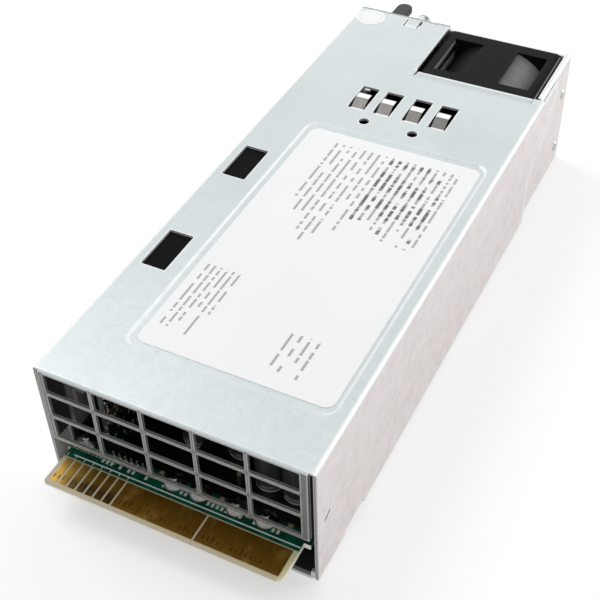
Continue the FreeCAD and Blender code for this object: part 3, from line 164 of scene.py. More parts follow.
class Finish(NodeTree):
    # one material, its main shader and the methods that paint it
    def __init__(self, name, **fixed):
        self.material = bpy.data.materials.new(name)
        self.material.use_nodes = True
        super().__init__(self.material.node_tree)
        self.shader = self.tree.nodes["Principled BSDF"]
        for socket, value in fixed.items():
            self.shader.inputs[socket.replace("_", " ")].default_value = value

    def place(self):
        # position in millimetres
        spot = self.node("ShaderNodeTexCoord", out="Object")
        return self.node("ShaderNodeVectorMath", {"operation": "SCALE"}, {0: spot, "Scale": 1000.0})

    def facing(self):
        return self.node("ShaderNodeTexCoord", out="Normal")

    def split(self, vector):
        first = self.node("ShaderNodeSeparateXYZ", inputs={0: vector})
        outputs = first.socket.node.outputs
        return first, Wire(self, outputs[1]), Wire(self, outputs[2])

    def stretch(self, vector, *scales):
        return self.node("ShaderNodeVectorMath", {"operation": "MULTIPLY"}, {0: vector, 1: scales})

    def join(self, x, y, z=0.0):
        return self.node("ShaderNodeCombineXYZ", inputs={0: x, 1: y, 2: z})

    def noise(self, vector, size, detail=2.0, roughness=0.5):
        # size is the width of one blotch in millimetres
        return self.node("ShaderNodeTexNoise", {"noise_dimensions": "3D"},
                         {"Vector": vector, "Scale": 1.0 / size, "Detail": detail,
                          "Roughness": roughness})

    def grains(self, vector, size):
        # a random level for each cell of about that size
        cells = self.node("ShaderNodeTexVoronoi", {"feature": "F1"},
                          {"Vector": vector, "Scale": 1.0 / size}, out="Color")
        return self.split(cells)[0]

    def blend(self, share, first, second):
        return self.node("ShaderNodeMix", {"data_type": "RGBA"}, {0: share, 6: first, 7: second}, out=2)

    def bump(self, height, strength, depth):
        return self.node("ShaderNodeBump", inputs={"Strength": strength, "Distance": depth * mm,
                                                   "Height": height})

    def edges(self, radius):
        # 1 along sharp edges, out to about that radius in millimetres
        rounded = self.node("ShaderNodeBevel", {"samples": 6}, {"Radius": radius * mm})
        plain = self.node("ShaderNodeNewGeometry", out="Normal")
        match = self.node("ShaderNodeVectorMath", {"operation": "DOT_PRODUCT"},
                          {0: rounded, 1: plain}, out="Value")
        return (1 - match).ramp(0.002, 0.06)

    def wear(self, **painted):
        # links what changes over the surface
        for socket, wire in painted.items():
            self.tree.links.new(wire.socket, self.shader.inputs[socket.replace("_", " ")])
        return self.material


def dress(material, *names):
    for name in names:
        mesh = nodes[name].data
        if not nodes[name].material_slots:
            mesh.materials.append(material)
        for materialSlot in nodes[name].material_slots:
            materialSlot.material = material


# the mesh helpers take millimetres and build in metres
meshRules = {
    "sharpAngle": math.radians(38),
    "joinWithin": 0.000005,
}


def linkObject(name, data):
    made = bpy.data.objects.new(name, data)
    bpy.context.scene.collection.objects.link(made)
    return made


def evaluatedMesh(made):
    # the mesh that a curve or a modifier gives
    return bpy.data.meshes.new_from_object(made.evaluated_get(bpy.context.evaluated_depsgraph_get()))


def addPiece(name, mesh, material):
    mesh.materials.append(material)
    mesh.shade_smooth()
    mesh.set_sharp_from_angle(angle=meshRules["sharpAngle"])
    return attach(linkObject(name, mesh), "supply")


def turnedShape(work, profile, centre, direction, steps):
    # turns a (radius, height) profile round an axis and adds it to a bmesh
    centre = Vector(centre) * mm
    direction = Vector(direction).normalized()
    side = direction.orthogonal().normalized()
    points = [work.verts.new(centre + side * radius * mm + direction * height * mm)
              for radius, height in profile]
    edges = [work.edges.new(pair) for pair in zip(points, points[1:])]
    bmesh.ops.spin(work, geom=points + edges, cent=centre, axis=direction, angle=math.tau,
                   steps=steps)


def boxShape(work, low, high, edge):
    # a box from corner to corner, with its edges rounded by that much
    low, high = Vector(low) * mm, Vector(high) * mm
    made = bmesh.ops.create_cube(work, size=1.0)["verts"]
    for vert in made:
        vert.co = Vector([(low[i] + high[i]) / 2 + vert.co[i] * (high[i] - low[i]) for i in range(3)])
    rims = {rim for vert in made for rim in vert.link_edges}
    bmesh.ops.bevel(work, geom=list(rims), offset=edge * mm, segments=2, affect="EDGES",
                    profile=0.6)


def finishedMesh(work, name):
    bmesh.ops.remove_doubles(work, verts=work.verts, dist=meshRules["joinWithin"])
    bmesh.ops.recalc_face_normals(work, faces=work.faces)
    mesh = bpy.data.meshes.new(name)
    work.to_mesh(mesh)
    work.free()
    return mesh


# bright sheet steel; every pressed piece shares it and has a shade of its own
sheetSteel = {
    "base": tone(204, 211, 212),
    "dull": tone(187, 195, 196),
    # the upright sides' lighter, warmer tones are a painted reflection
    "sides": tone(236, 231, 230),
    "sidesDull": tone(211, 200, 199),
    # the tone of small flecks, and of the painted shadow along the cover's edge
    "fleckAndShadow": tone(150, 154, 156),
    # the near white of painted highlights on folds, edges and crests
    "paintedHighlight": tone(247, 248, 248),
    # the dark tone of painted shade inside the case
    "inside": tone(34, 35, 36),
    # the darker tone of the grille's face, where it is painted shade, and of the mottled rear edges
    "face": tone(106, 106, 104),
    "burr": tone(214, 215, 214),
    "roughness": 0.42,
    "metallic": 0.45,
    "cloudSize": 30.0,
    "grainSize": 0.8,
    "spangleSize": 1.4,
    "blotSize": 4.5,
    "edgeWidth": 0.75,
}


def makeSheetSteel(name, shade):
    # the top is clouded and the upright sides are blotched and painted lighter and warmer as a painted
    # reflection; shade paints the piece's own marks and its painted light and shade
    f = Finish(name)
    at = f.place()
    clouds = f.noise(at, sheetSteel["cloudSize"], 4.0, 0.55)
    grain = f.noise(at, sheetSteel["grainSize"], 3.0, 0.65)
    spangle = f.grains(at, sheetSteel["spangleSize"])
    flecks = f.noise(at, 0.5, 1.0).ramp(0.64, 0.74) * f.noise(at, 7.0, 2.0).ramp(0.42, 0.62)
    rolled = f.noise(f.stretch(at, 6.0, 0.12, 6.0), 1.0, 2.0)
    nx, ny, nz = f.split(f.facing())
    # painted reflection: faces that point sideways take the sides' tones
    across = abs(nx).ramp(0.55, 0.9)
    blots = f.noise(at, sheetSteel["blotSize"], 6.0, 0.75).ramp(0.36, 0.7)
    mottle = (clouds * 0.8 + grain * 0.45 + spangle * 0.2 - 0.4).limit()
    mottle = (mottle * (1 - across * 0.5) + blots * across * 0.45).limit()
    colour = f.blend(mottle, f.blend(across, sheetSteel["base"], sheetSteel["sides"]),
                     f.blend(across, sheetSteel["dull"], sheetSteel["sidesDull"]))
    colour = f.blend(flecks * 0.55, colour, sheetSteel["fleckAndShadow"])
    # painted highlight: folds and sharp edges are painted near white
    fold = abs(nx).within(0.12, 0.97) * (nz > 0.2)
    edges = f.edges(sheetSteel["edgeWidth"])
    foldAndEdgeHighlight = (fold * 0.75 + edges * (0.45 + 0.5 * grain)).limit()
    colour = f.blend(foldAndEdgeHighlight, colour, sheetSteel["paintedHighlight"])
    colour = shade(f, colour, f.split(at), edges)
    roughness = sheetSteel["roughness"] + 0.16 * (clouds - 0.5) + 0.12 * (grain - 0.5)
    roughness = roughness + 0.05 * spangle
    height = grain * 0.6 + rolled * 0.25 + spangle * 0.15
    return f.wear(Base_Color=colour, Roughness=roughness.limit(),
                  Metallic=(sheetSteel["metallic"] + 0.2 * (spangle - 0.5)).limit(),
                  Normal=f.bump(height, 0.12, 0.12))


# the cover's rear side edge, where it slides over the tray
sideSeam = {
    "start": 54.8,        # how far back the cover's side reaches at the bottom
    "slopes": ((17.0, 21.5, 8.6), (21.5, 29.0, 8.6), (29.0, 36.0, 4.0)),   # from, to, and how far back
    "bright": 1.0,
    "shadow": 0.45,
    "top": 38.5,
    "coverSide": 36.4,
    "traySide": 35.7,
}


def behindSeam(f, py, pz):
    # distance behind the cover's rear side edge
    back = py - sideSeam["start"]
    for low, high, rise in sideSeam["slopes"]:
        back = back - pz.slope(low, high, rise)
    return back


coverMarks = {
    "faceDepth": 0.95,    # the grille's pressed face, from its front and below the fold
    "faceTop": 39.45,
    # where painted shade darkens the inside
    "insideShadeTop": 39.25,
    "insideShadeSide": 35.9,
    "insideShadeFront": 1.2,
    "rearRim": 91.7,
    "lipSpan": (-5.2, 33.6),       # the bent lip in front of the fan
    # painted shade on the lip's slope, then a painted highlight on its crest
    "lipSlope": (58.9, 62.85),
    "lipCrest": (62.8, 64.1),
    "lipLow": 39.3,
}


def coverShade(f, colour, place, edges):
    # painted shade darkens the grille's face, whose edges are bright from burrs left by the punch and
    # from a painted highlight; painted shade darkens the inside
    px, py, pz = place
    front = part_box("top_cover")[0].y / mm
    burr = f.noise(f.join(px, py, pz), 0.8, 3.0)
    # painted shade: the grille's pressed face takes the darker face tone, with bright edges that are
    # partly a painted highlight
    face = (py < front + coverMarks["faceDepth"]) * (pz < coverMarks["faceTop"])
    dull = f.blend((edges * (0.4 + 0.6 * burr)).limit(), sheetSteel["face"], sheetSteel["burr"])
    colour = f.blend(face * 0.94, colour, dull)
    # painted shade: the inside is darkened towards the inside tone
    insideShade = (pz < coverMarks["insideShadeTop"]) * (abs(px) < coverMarks["insideShadeSide"])
    insideShade = insideShade * (py > front + coverMarks["insideShadeFront"])
    colour = f.blend(insideShade * 0.94, colour, sheetSteel["inside"])
    rim = (py > coverMarks["rearRim"]) * (0.35 + 0.65 * burr)
    colour = f.blend(rim.limit(), colour, sheetSteel["face"])
    # painted shade on the lip's slope and a painted highlight on its crest
    lip = px.within(*coverMarks["lipSpan"]) * (pz > coverMarks["lipLow"])
    colour = f.blend(lip * py.within(*coverMarks["lipSlope"]) * 0.5, colour, sheetSteel["dull"])
    colour = f.blend(lip * py.within(*coverMarks["lipCrest"]), colour, sheetSteel["paintedHighlight"])
    # painted highlight along the cover's rear side edge
    seamHighlight = behindSeam(f, py, pz).within(-sideSeam["bright"], 0.2)
    seamHighlight = seamHighlight * (abs(px) > sideSeam["coverSide"]) * (pz < sideSeam["top"])
    return f.blend(seamHighlight * 0.95, colour, sheetSteel["paintedHighlight"])


trayMarks = {
    # where painted shade darkens the inside
    "insideShadeSide": 35.6,
    "insideShadeHeight": (0.9, 38.6),
    "insideShadeLength": (-90.8, 62.0),
}


def trayShade(f, colour, place, edges):
    # painted shade darkens the inside, and a thin painted shadow runs along the cover's edge
    px, py, pz = place
    # painted shade inside the tray
    insideShade = (abs(px) < trayMarks["insideShadeSide"]) * pz.within(*trayMarks["insideShadeHeight"])
    insideShade = insideShade * py.within(*trayMarks["insideShadeLength"])
    colour = f.blend(insideShade * 0.94, colour, sheetSteel["inside"])
    # painted shadow along the cover's edge
    seamShadow = behindSeam(f, py, pz).within(-0.5, sideSeam["shadow"])
    seamShadow = seamShadow * (abs(px) > sideSeam["traySide"]) * (pz < sideSeam["top"])
    return f.blend(seamShadow * 0.6, colour, sheetSteel["fleckAndShadow"])


def plateShade(f, colour, place, edges):
    # painted shade: the plate and the bracket are darkened towards the inside tone
    return f.blend(0.6, colour, sheetSteel["inside"])


panelMarks = {
    "inner": 91.3,
    "mottleTop": 39.2,
}


def panelShade(f, colour, place, edges):
    # painted shade darkens the inside, and the top edge is darker in mottled patches
    px, py, pz = place
    # painted shade inside the panel
    colour = f.blend((py < panelMarks["inner"]) * 0.6, colour, sheetSteel["inside"])
    edgeMottle = f.noise(f.join(px, py, pz), 1.2, 4.0).ramp(0.3, 0.6)
    return f.blend((pz > panelMarks["mottleTop"]) * edgeMottle * 0.8, colour, sheetSteel["face"])


dress(makeSheetSteel("coverSteel", coverShade), "top_cover")
dress(makeSheetSteel("traySteel", trayShade), "chassis_tray")
dress(makeSheetSteel("panelSteel", panelShade), "rear_panel")
dress(makeSheetSteel("plateSteel", plateShade), "wall_plate", "latch_bracket")

fingerLook = {
    "base": tone(122, 121, 119),
    "streak": tone(72, 71, 69),
    "crestHighlight": tone(236, 236, 235),
    "slope": tone(58, 57, 56),
    "roughness": 0.22,
}


def makeFingerSteel():
    # rolled spring strip: streaks along each finger, a painted highlight on the crest and painted shade
    # on the slopes
    f = Finish("fingerSteel", Metallic=0.85)
    at = f.place()
    up = f.split(f.facing())[2]
    streaks = f.noise(f.stretch(at, 2.6, 0.06, 0.06), 0.8, 3.0)
    smudge = f.noise(at, 2.0, 3.0)
    colour = f.blend((streaks * 1.1 + smudge * 0.4 - 0.3).limit(), fingerLook["base"],
                     fingerLook["streak"])
    # painted highlight on faces that point up, painted shade on faces that tilt away
    crestHighlight = up.ramp(0.988, 0.9995)
    colour = f.blend(crestHighlight * (0.5 + 0.5 * streaks), colour, fingerLook["crestHighlight"])
    colour = f.blend((1 - up.ramp(0.8, 0.97)) * 0.45, colour, fingerLook["slope"])
    return f.wear(Base_Color=colour, Roughness=(fingerLook["roughness"] + 0.18 * streaks).limit(),
                  Normal=f.bump(streaks, 0.04, 0.05))


dress(makeFingerSteel(), "contact_spring")

# drawn, rolled and plated metals; ripple is the size of a mark, and on names the nodes that wear it
metals = {
    "springSteel": {"base": tone(150, 148, 145), "dull": tone(96, 94, 91), "roughness": 0.26,
                    "ripple": 0.7, "stretch": (2.2, 0.08, 0.08), "dent": 0.02,
                    "on": ("latch_arm", "latch_pin", "fan_shaft", "fan_bearings")},
    "screwSteel": {"base": tone(205, 207, 208), "dull": tone(158, 159, 158), "roughness": 0.24,
                   "ripple": 1.2, "on": ("rivets", "board_screws", "standoffs")},
    "solderMetal": {"base": tone(158, 158, 156), "dull": tone(104, 104, 103), "roughness": 0.16,
                    "ripple": 2.2, "dent": 0.2},
    "tinMetal": {"base": tone(206, 204, 196), "dull": tone(168, 166, 158), "roughness": 0.22,
                 "ripple": 1.5, "on": ("inlet_pins", "fuse_clips")},
    "sinkMetal": {"base": tone(150, 152, 154), "dull": tone(110, 112, 114), "roughness": 0.36,
                  "ripple": 2.0, "stretch": (1.0, 1.0, 0.2),
                  "on": ("primary_heat_sink", "rectifier_heat_sink")},
    # the copper is darkened to a dull brown as painted shade inside the case
    "copperMetal": {"base": tone(96, 84, 74), "dull": tone(58, 50, 44), "roughness": 0.32,
                    "ripple": 1.2, "on": ("output_bars",)},
    "enamelWire": {"base": tone(120, 62, 34), "dull": tone(74, 34, 18), "roughness": 0.26,
                   "ripple": 0.5, "stretch": (1.0, 1.0, 4.0), "dent": 0.5,
                   "on": ("boost_choke_winding", "line_choke_winding")},
    "motorSteel": {"base": tone(120, 112, 104), "dull": tone(80, 74, 70), "roughness": 0.4,
                   "ripple": 1.0, "stretch": (1.0, 8.0, 1.0), "dent": 0.3, "on": ("fan_stator",)},
}


def makeDrawnMetal(name, look):
    f = Finish(name, Metallic=1.0)
    at = f.place()
    ripple = f.noise(f.stretch(at, *look.get("stretch", (1.0, 1.0, 1.0))), look["ripple"], 3.0)
    tarnish = f.noise(at, look["ripple"] * 2.5, 3.0)
    grain = f.noise(at, 0.2, 2.0)
    colour = f.blend((ripple * 0.6 + tarnish * 0.5).limit(), look["base"], look["dull"])
    roughness = look["roughness"] + 0.14 * grain + 0.08 * (tarnish - 0.5)
    return f.wear(Base_Color=colour, Roughness=roughness.limit(),
                  Normal=f.bump(ripple * 0.7 + grain * 0.3, look.get("dent", 0.1), 0.08))


drawnMetals = {}
for name, look in metals.items():
    drawnMetals[name] = makeDrawnMetal(name, look)
    dress(drawnMetals[name], *look.get("on", ()))
print("metals done")

labelPaper = {
    "paper": tone(253, 253, 254),
    "shade": tone(246, 247, 248),
    "ink": tone(70, 70, 74),
    "paleInk": tone(128, 129, 133),
    "roughness": 0.4,
    "blotchSize": 25.0,
    # rows of bars: pitch, thickness, insets from the left or (negative) right and bottom or top, seed
    "boldRows": ((2.2, 1.0, 27.0, -5.5, -42.0, -5.0, 1.0),),
    "paleRows": ((2.2, 0.75, 9.5, -6.0, -48.0, -4.5, 7.0), (1.9, 0.7, -5.5, -3.6, -50.0, -4.5, 3.0),
                 (1.8, 0.65, 2.5, 13.0, 4.0, 31.0, 11.0), (2.4, 0.7, -19.0, -11.0, 3.5, 18.0, 17.0)),
}


def greekedRows(f, x, y, pitch, thick, left, right, low, high, seed):
    # rows of plain bars, long and short, that stand where a data label has its print
    row = (x - left).repeat(pitch)
    number = (x - left).step(pitch) + seed
    share = f.node("ShaderNodeTexNoise", {"noise_dimensions": "2D"},
                   {"Vector": f.join(y * 0.5, number * 5.3), "Scale": 1.0, "Detail": 1.0})
    ending = f.grains(f.join(number * 3.1, seed, 0.5), 1.0)
    reach = y > (low + ending * (high - low) * 0.5)
    bars = (row < thick / pitch) * (share > 0.43)
    return bars * x.within(left, right) * y.within(low, high) * reach


def labelRows(f, x, y, rows, low, high):
    total = 0.0
    for pitch, thick, left, right, bottom, top, seed in rows:
        sides = [inset + (low.x if inset > 0 else high.x) for inset in (left, right)]
        ends = [inset + (low.y if inset > 0 else high.y) for inset in (bottom, top)]
        total = greekedRows(f, x, y, pitch, thick, *sides, *ends, seed) + total
    return total


def makeLabelPaper():
    # white film: small pale rows on the left, bold ones in the middle, one long row on the right
    f = Finish("labelPaper", Coat_Roughness=0.25, Coat_Weight=0.1)
    low, high = (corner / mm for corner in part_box("label"))
    at = f.place()
    x, y, z = f.split(at)

    gaps = f.noise(f.join(x * 0.1, y * 0.5), 3.0, 1.0).ramp(0.42, 0.5)
    bold = labelRows(f, x, y, labelPaper["boldRows"], low, high) * gaps
    pale = labelRows(f, x, y, labelPaper["paleRows"], low, high)
    fibre = f.noise(at, 0.4, 3.0)
    blotch = f.noise(at, labelPaper["blotchSize"], 3.0)
    colour = f.blend(blotch * 0.8, labelPaper["paper"], labelPaper["shade"])
    colour = f.blend(pale.limit() * 0.7, colour, labelPaper["paleInk"])
    colour = f.blend(bold * 0.85, colour, labelPaper["ink"])
    return f.wear(Base_Color=colour, Roughness=(labelPaper["roughness"] + 0.1 * fibre).limit(),
                  Normal=f.bump(fibre, 0.05, 0.04))


stickerLook = {
    "paper": tone(254, 254, 254),
    "shade": tone(246, 247, 248),
    "ring": tone(170, 172, 176),
    "ringRadius": 3.6,
    "ringWidth": 0.16,
    "roughness": 0.4,
}


def makeStickerPaper():
    # plain white paper with one faint ring
    f = Finish("stickerPaper")
    low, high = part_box("round_sticker")
    at = f.place()
    x, y, z = f.split(at)
    middle = (low + high) / 2 / mm
    x, y = x - middle.x, y - middle.y
    ring = abs((x * x + y * y).maths("SQRT") - stickerLook["ringRadius"]) < stickerLook["ringWidth"]
    fibre = f.noise(at, 0.5, 3.0)
    colour = f.blend(fibre, stickerLook["paper"], stickerLook["shade"])
    colour = f.blend(ring * 0.25, colour, stickerLook["ring"])
    return f.wear(Base_Color=colour, Roughness=(stickerLook["roughness"] + 0.1 * fibre).limit(),
                  Normal=f.bump(fibre, 0.06, 0.04))


filmLook = {
    "base": tone(7, 7, 8),
    "haze": tone(20, 20, 22),
    "roughness": 0.5,
}


def makeBlackFilm():
    f = Finish("blackFilm", Specular_IOR_Level=0.04)
    at = f.place()
    haze = f.noise(at, 4.0, 4.0)
    weave = f.noise(at, 0.3, 2.0)
    return f.wear(Base_Color=f.blend(haze, filmLook["base"], filmLook["haze"]),
                  Roughness=(filmLook["roughness"] + 0.2 * haze).limit(),
                  Normal=f.bump(weave, 0.1, 0.03))


dress(makeLabelPaper(), "label")
dress(makeStickerPaper(), "round_sticker")
dress(makeBlackFilm(), "window_film", "board_insulator")
print("label and films done")

pocketLight = {
    # the painted light on the pocket walls and the painted highlight on edges
    "litTone": tone(176, 176, 176),
    "edge": tone(90, 90, 90),
    "height": (24.0, 37.0),
    "edgeWidth": 0.3,
}


def litPocketWalls(f, at, colour):
    # painted light on the walls inside the frame's two open pockets, most on those that face the right
    # side
    low, high = (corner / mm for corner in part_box("fan_frame"))
    px, py, pz = f.split(at)
    facing = f.split(f.facing())[0]
    inside = (pz < high.z - 0.5) * px.within(low.x + 0.4, high.x - 0.4)
    inside = inside * py.within(low.y + 0.6, high.y - 0.6)
    litWalls = inside * facing.ramp(0.05, 0.7) * pz.ramp(*pocketLight["height"])
    cloud = f.noise(at, 3.0, 4.0)
    edge = f.edges(pocketLight["edgeWidth"])
    # painted light on the pocket walls
    colour = f.blend((litWalls * (0.5 + 0.5 * cloud)).limit(), colour, pocketLight["litTone"])
    # painted highlight: sharp edges are lightened towards grey
    return f.blend(edge * 0.3, colour, pocketLight["edge"])


# moulded plastics; shine is the specular level and texture the depth of the moulded grain
plastics = {
    "fanPlastic": {"base": tone(14, 14, 15), "worn": tone(28, 28, 29), "roughness": 0.46,
                   "texture": 0.25, "shine": 0.06, "shade": litPocketWalls, "on": ("fan_frame",)},
    "bladePlastic": {"base": tone(26, 26, 27), "worn": tone(40, 40, 41), "roughness": 0.34,
                     "texture": 0.12, "on": ("fan_rotor",)},
    "handlePlastic": {"base": tone(32, 33, 35), "worn": tone(58, 59, 61), "roughness": 0.4,
                      "texture": 0.22, "on": ("pull_handle",)},
    "tabPlastic": {"base": tone(34, 92, 70), "worn": tone(58, 120, 96), "roughness": 0.4,
                   "texture": 0.2, "on": ("latch_tab",)},
    "inletPlastic": {"base": tone(26, 26, 27), "worn": tone(44, 44, 45), "roughness": 0.36,
                     "texture": 0.15, "on": ("inlet_body",)},
    "packagePlastic": {"base": tone(24, 24, 25), "worn": tone(40, 40, 41), "roughness": 0.5,
                       "texture": 0.4,
                       "on": ("power_transistors", "rectifier", "inrush_relay", "fan_connector")},
    "boxPlastic": {"base": tone(186, 164, 68), "worn": tone(202, 184, 106), "roughness": 0.45,
                   "texture": 0.2, "on": ("line_capacitor",)},
    "blackSleeve": {"base": tone(30, 30, 31), "worn": tone(18, 18, 19), "roughness": 0.45,
                    "texture": 0.12, "on": ("input_leads", "fan_lead")},
}


def makePlastic(name, look):
    f = Finish(name, Specular_IOR_Level=look.get("shine", 0.3))
    at = f.place()
    grain = f.noise(at, 0.28, 2.0, 0.6)
    flow = f.noise(at, 9.0, 3.0)
    rub = f.noise(at, 2.4, 4.0, 0.65).ramp(0.5, 0.75)
    colour = f.blend((flow * 0.5 + rub * 0.35).limit(), look["base"], look["worn"])
    if "shade" in look:
        colour = look["shade"](f, at, colour)
    roughness = look["roughness"] + 0.14 * grain + 0.08 * (flow - 0.5)
    return f.wear(Base_Color=colour, Roughness=roughness.limit(),
                  Normal=f.bump(grain, look["texture"], 0.04))


clearLook = {
    "base": tone(240, 243, 243),
    "haze": tone(226, 231, 232),
    "roughness": 0.06,
}


def makeClearPlastic():
    f = Finish("clearPlastic", Transmission_Weight=0.85, IOR=1.49)
    haze = f.noise(f.place(), 1.2, 2.0)
    return f.wear(Base_Color=f.blend(haze, clearLook["base"], clearLook["haze"]),
                  Roughness=(clearLook["roughness"] + 0.12 * haze).limit(),
                  Normal=f.bump(haze, 0.05, 0.05))


earthLook = {
    "green": tone(60, 122, 44),
    "yellow": tone(196, 184, 46),
    "soil": tone(50, 70, 30),
    "pitch": 4.0,
}


def makeEarthSleeve():
    # green with a yellow stripe that winds round the lead
    f = Finish("earthSleeve", Roughness=0.45)
    at = f.place()
    x, y, z = f.split(at)
    stripe = (x + y * 0.4 + z).repeat(earthLook["pitch"]).ramp(0.55, 0.6)
    grain = f.noise(at, 0.5, 2.0)
    colour = f.blend(stripe, earthLook["green"], earthLook["yellow"])
    return f.wear(Base_Color=f.blend(grain * 0.4, colour, earthLook["soil"]),
                  Normal=f.bump(grain, 0.1, 0.05))


for name, look in plastics.items():
    dress(makePlastic(name, look), *look["on"])
dress(makeClearPlastic(), "light_pipe", "status_led")
dress(makeEarthSleeve(), "earth_lead")
print("plastics done")

# the main board with its card edge; distances run from the card's tip
boardLook = {
    "mask": tone(6, 98, 72),
    "maskDark": tone(3, 66, 50),
    "shaded": tone(5, 9, 8),
    "laminate": tone(206, 196, 166),
    "laminateDark": tone(168, 154, 118),
    "coreLines": tone(120, 98, 62),
    "cutEdge": tone(248, 246, 238),
    "margin": tone(240, 234, 178),
    "silk": tone(240, 255, 248),
    "maskEdge": 9.0,           # how far the bare laminate reaches in
    "bareSide": 32.25,         # and how far across
    "silkLine": 10.1,
    "silkSpan": (-31.0, 32.0),
    "contactStart": -32.6,
    "contactPitch": 2.54,
    "tickRow": (11.1, 12.2),
    "tickSpan": (-24.0, 29.0),
    "tickPitch": 1.25,
    "frameRow": (12.0, 13.8),  # small outlined places for parts on the left
    "framePitch": 3.4,
    "shadedFrom": (14.0, 15.4),
}


def makeMainBoard():
    look = boardLook
    f = Finish("mainBoard")
    at = f.place()
    x, y, z = f.split(at)
    upright = f.split(f.facing())[2]
    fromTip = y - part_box("main_board")[0].y / mm
    weave = f.noise(f.stretch(at, 4.0, 4.0, 1.0), 1.6, 2.0)
    tracks = f.grains(f.stretch(at, 0.5, 0.16, 1.0), 1.4).ramp(0.45, 0.55)
    colour = f.blend((tracks * 0.7 + weave * 0.3).limit(), look["mask"], look["maskDark"])
    # white print: one long line with short marks before it, a row of ticks and outlines
    fromContact = abs((x - look["contactStart"]).repeat(look["contactPitch"]) - 0.5)
    line = look["silkLine"]
    silk = fromTip.within(line - 0.2, line + 0.2) * x.within(*look["silkSpan"])
    silk = silk + fromTip.within(line - 0.8, line) * (fromContact > 0.455) * (x < -14.0)
    number = (x + 40.0).step(look["tickPitch"])
    ticks = fromTip.within(*look["tickRow"]) * ((x + 40.0).repeat(look["tickPitch"]) < 0.6)
    ticks = ticks * x.within(*look["tickSpan"])
    ticks = ticks * (f.grains(f.join(number * 1.7, 0.5, 0.5), 1.0) > 0.4)
    outline = abs(abs((x + 28.5).repeat(look["framePitch"]) - 0.5) - 0.36) < 0.04
    outline = outline * fromTip.within(*look["frameRow"]) + abs(fromTip - 12.9).within(0.82, 1.0)
    ticks = ticks + outline * (x < -20.0) * 0.7
    colour = f.blend((silk + ticks * 0.85).limit(), colour, look["silk"])
    colour = f.blend(fromTip.ramp(*look["shadedFrom"]), colour, look["shaded"])
    # bare laminate between and before the contacts
    bare = (fromTip < look["maskEdge"]) * (x < look["bareSide"])
    pale = f.blend(x.ramp(30.6, 31.4), look["laminate"], look["margin"])
    pale = f.blend(f.noise(at, 0.6, 3.0) * 0.4, pale, look["laminateDark"])
    core = fromTip.within(1.4, 8.4) * (fromContact > 0.46)
    pale = f.blend(core * 0.35, pale, look["coreLines"])
    # the cut edge is pale laminate, painted near white partly as a painted highlight
    side = (1 - abs(upright).ramp(0.4, 0.6)) * (fromTip < 12.0)
    colour = f.blend(bare, colour, pale)
    colour = f.blend(side, colour, look["cutEdge"])
    return f.wear(Base_Color=colour, Roughness=(0.28 + 0.2 * weave + 0.25 * side).limit(),
                  Normal=f.bump(weave * 0.5 + tracks * 0.5, 0.12, 0.04))


smallBoardLook = {
    "mask": tone(10, 22, 18),
    "tracks": tone(20, 40, 33),
    "pads": tone(180, 178, 170),
    "roughness": 0.3,
}


def makeSmallBoard():
    # dark mask with fine tracks and bright pads
    f = Finish("smallBoard")
    at = f.place()
    weave = f.noise(at, 0.5, 2.0)
    tracks = f.grains(f.stretch(at, 1.0, 0.25, 0.6), 1.0).ramp(0.5, 0.56)
    pads = f.grains(at, 0.8).ramp(0.93, 0.95)
    colour = f.blend(tracks * 0.6, smallBoardLook["mask"], smallBoardLook["tracks"])
    colour = f.blend(pads * 0.8, colour, smallBoardLook["pads"])
    return f.wear(Base_Color=colour, Roughness=(smallBoardLook["roughness"] + 0.15 * weave).limit(),
                  Normal=f.bump(tracks + pads, 0.1, 0.05))


goldLook = {
    "bright": tone(186, 148, 70),
    "base": tone(132, 94, 18),
    "dark": tone(86, 60, 8),
    # the tone of worn marks, also used for painted shade towards the tips
    "wear": tone(34, 24, 8),
    "roughness": 0.28,
    "tickPitch": 1.27,
    "tickFrom": 1.15,
    "tickReach": 1.9,
}


def makeGold(name, node, lighter):
    # plating with fine wiping marks along Y and one short dark line where each spring has landed
    f = Finish(name, Metallic=0.7, Specular_IOR_Level=0.3)
    at = f.place()
    x, y, z = f.split(at)
    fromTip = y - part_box(node)[0].y / mm
    streaks = f.noise(f.stretch(at, 2.6, 0.3, 1.0), 1.0, 4.0)
    blotch = f.noise(at, 5.0, 4.0, 0.6)
    grain = f.noise(at, 0.3, 2.0)
    colour = f.blend((streaks * 0.7 + blotch * 0.8 - 0.3).limit(), goldLook["base"], goldLook["dark"])
    clouds = f.noise(f.stretch(at, 1.0, 0.6, 1.0), 3.4, 3.0).ramp(0.5, 0.8)
    colour = f.blend(clouds * 0.5, colour, goldLook["bright"])
    if lighter:
        # the first fingers are brighter, and painted shade in the wear tone darkens every finger
        # towards its tip
        colour = f.blend((1 - x.ramp(-31.5, -20.0)) * 0.8, colour, goldLook["bright"])
        tipShade = (1 - fromTip.ramp(1.8, 4.6)) * x.ramp(-31.0, -26.0)
        colour = f.blend(tipShade * 0.75, colour, goldLook["wear"])
    number = (x + 0.5).step(goldLook["tickPitch"])
    chance = f.grains(f.join(number * 2.3, 0.5, 0.5), 1.0)
    reach = goldLook["tickFrom"] + goldLook["tickReach"] * chance
    marks = (fromTip > goldLook["tickFrom"]) * (fromTip < reach)
    marks = marks * (abs((x + 0.5).repeat(goldLook["tickPitch"]) - 0.5) < 0.13)
    rubbed = f.noise(f.stretch(at, 1.6, 0.5, 1.0), 1.0, 3.0).ramp(0.62, 0.8)
    marks = (marks + rubbed * (1 - fromTip.ramp(3.0, 6.0)) * 0.5).limit()
    colour = f.blend(marks * 0.85, colour, goldLook["wear"])
    roughness = goldLook["roughness"] + 0.18 * blotch + 0.12 * streaks
    return f.wear(Base_Color=colour, Roughness=roughness.limit(),
                  Normal=f.bump(grain + marks, 0.08, 0.03))


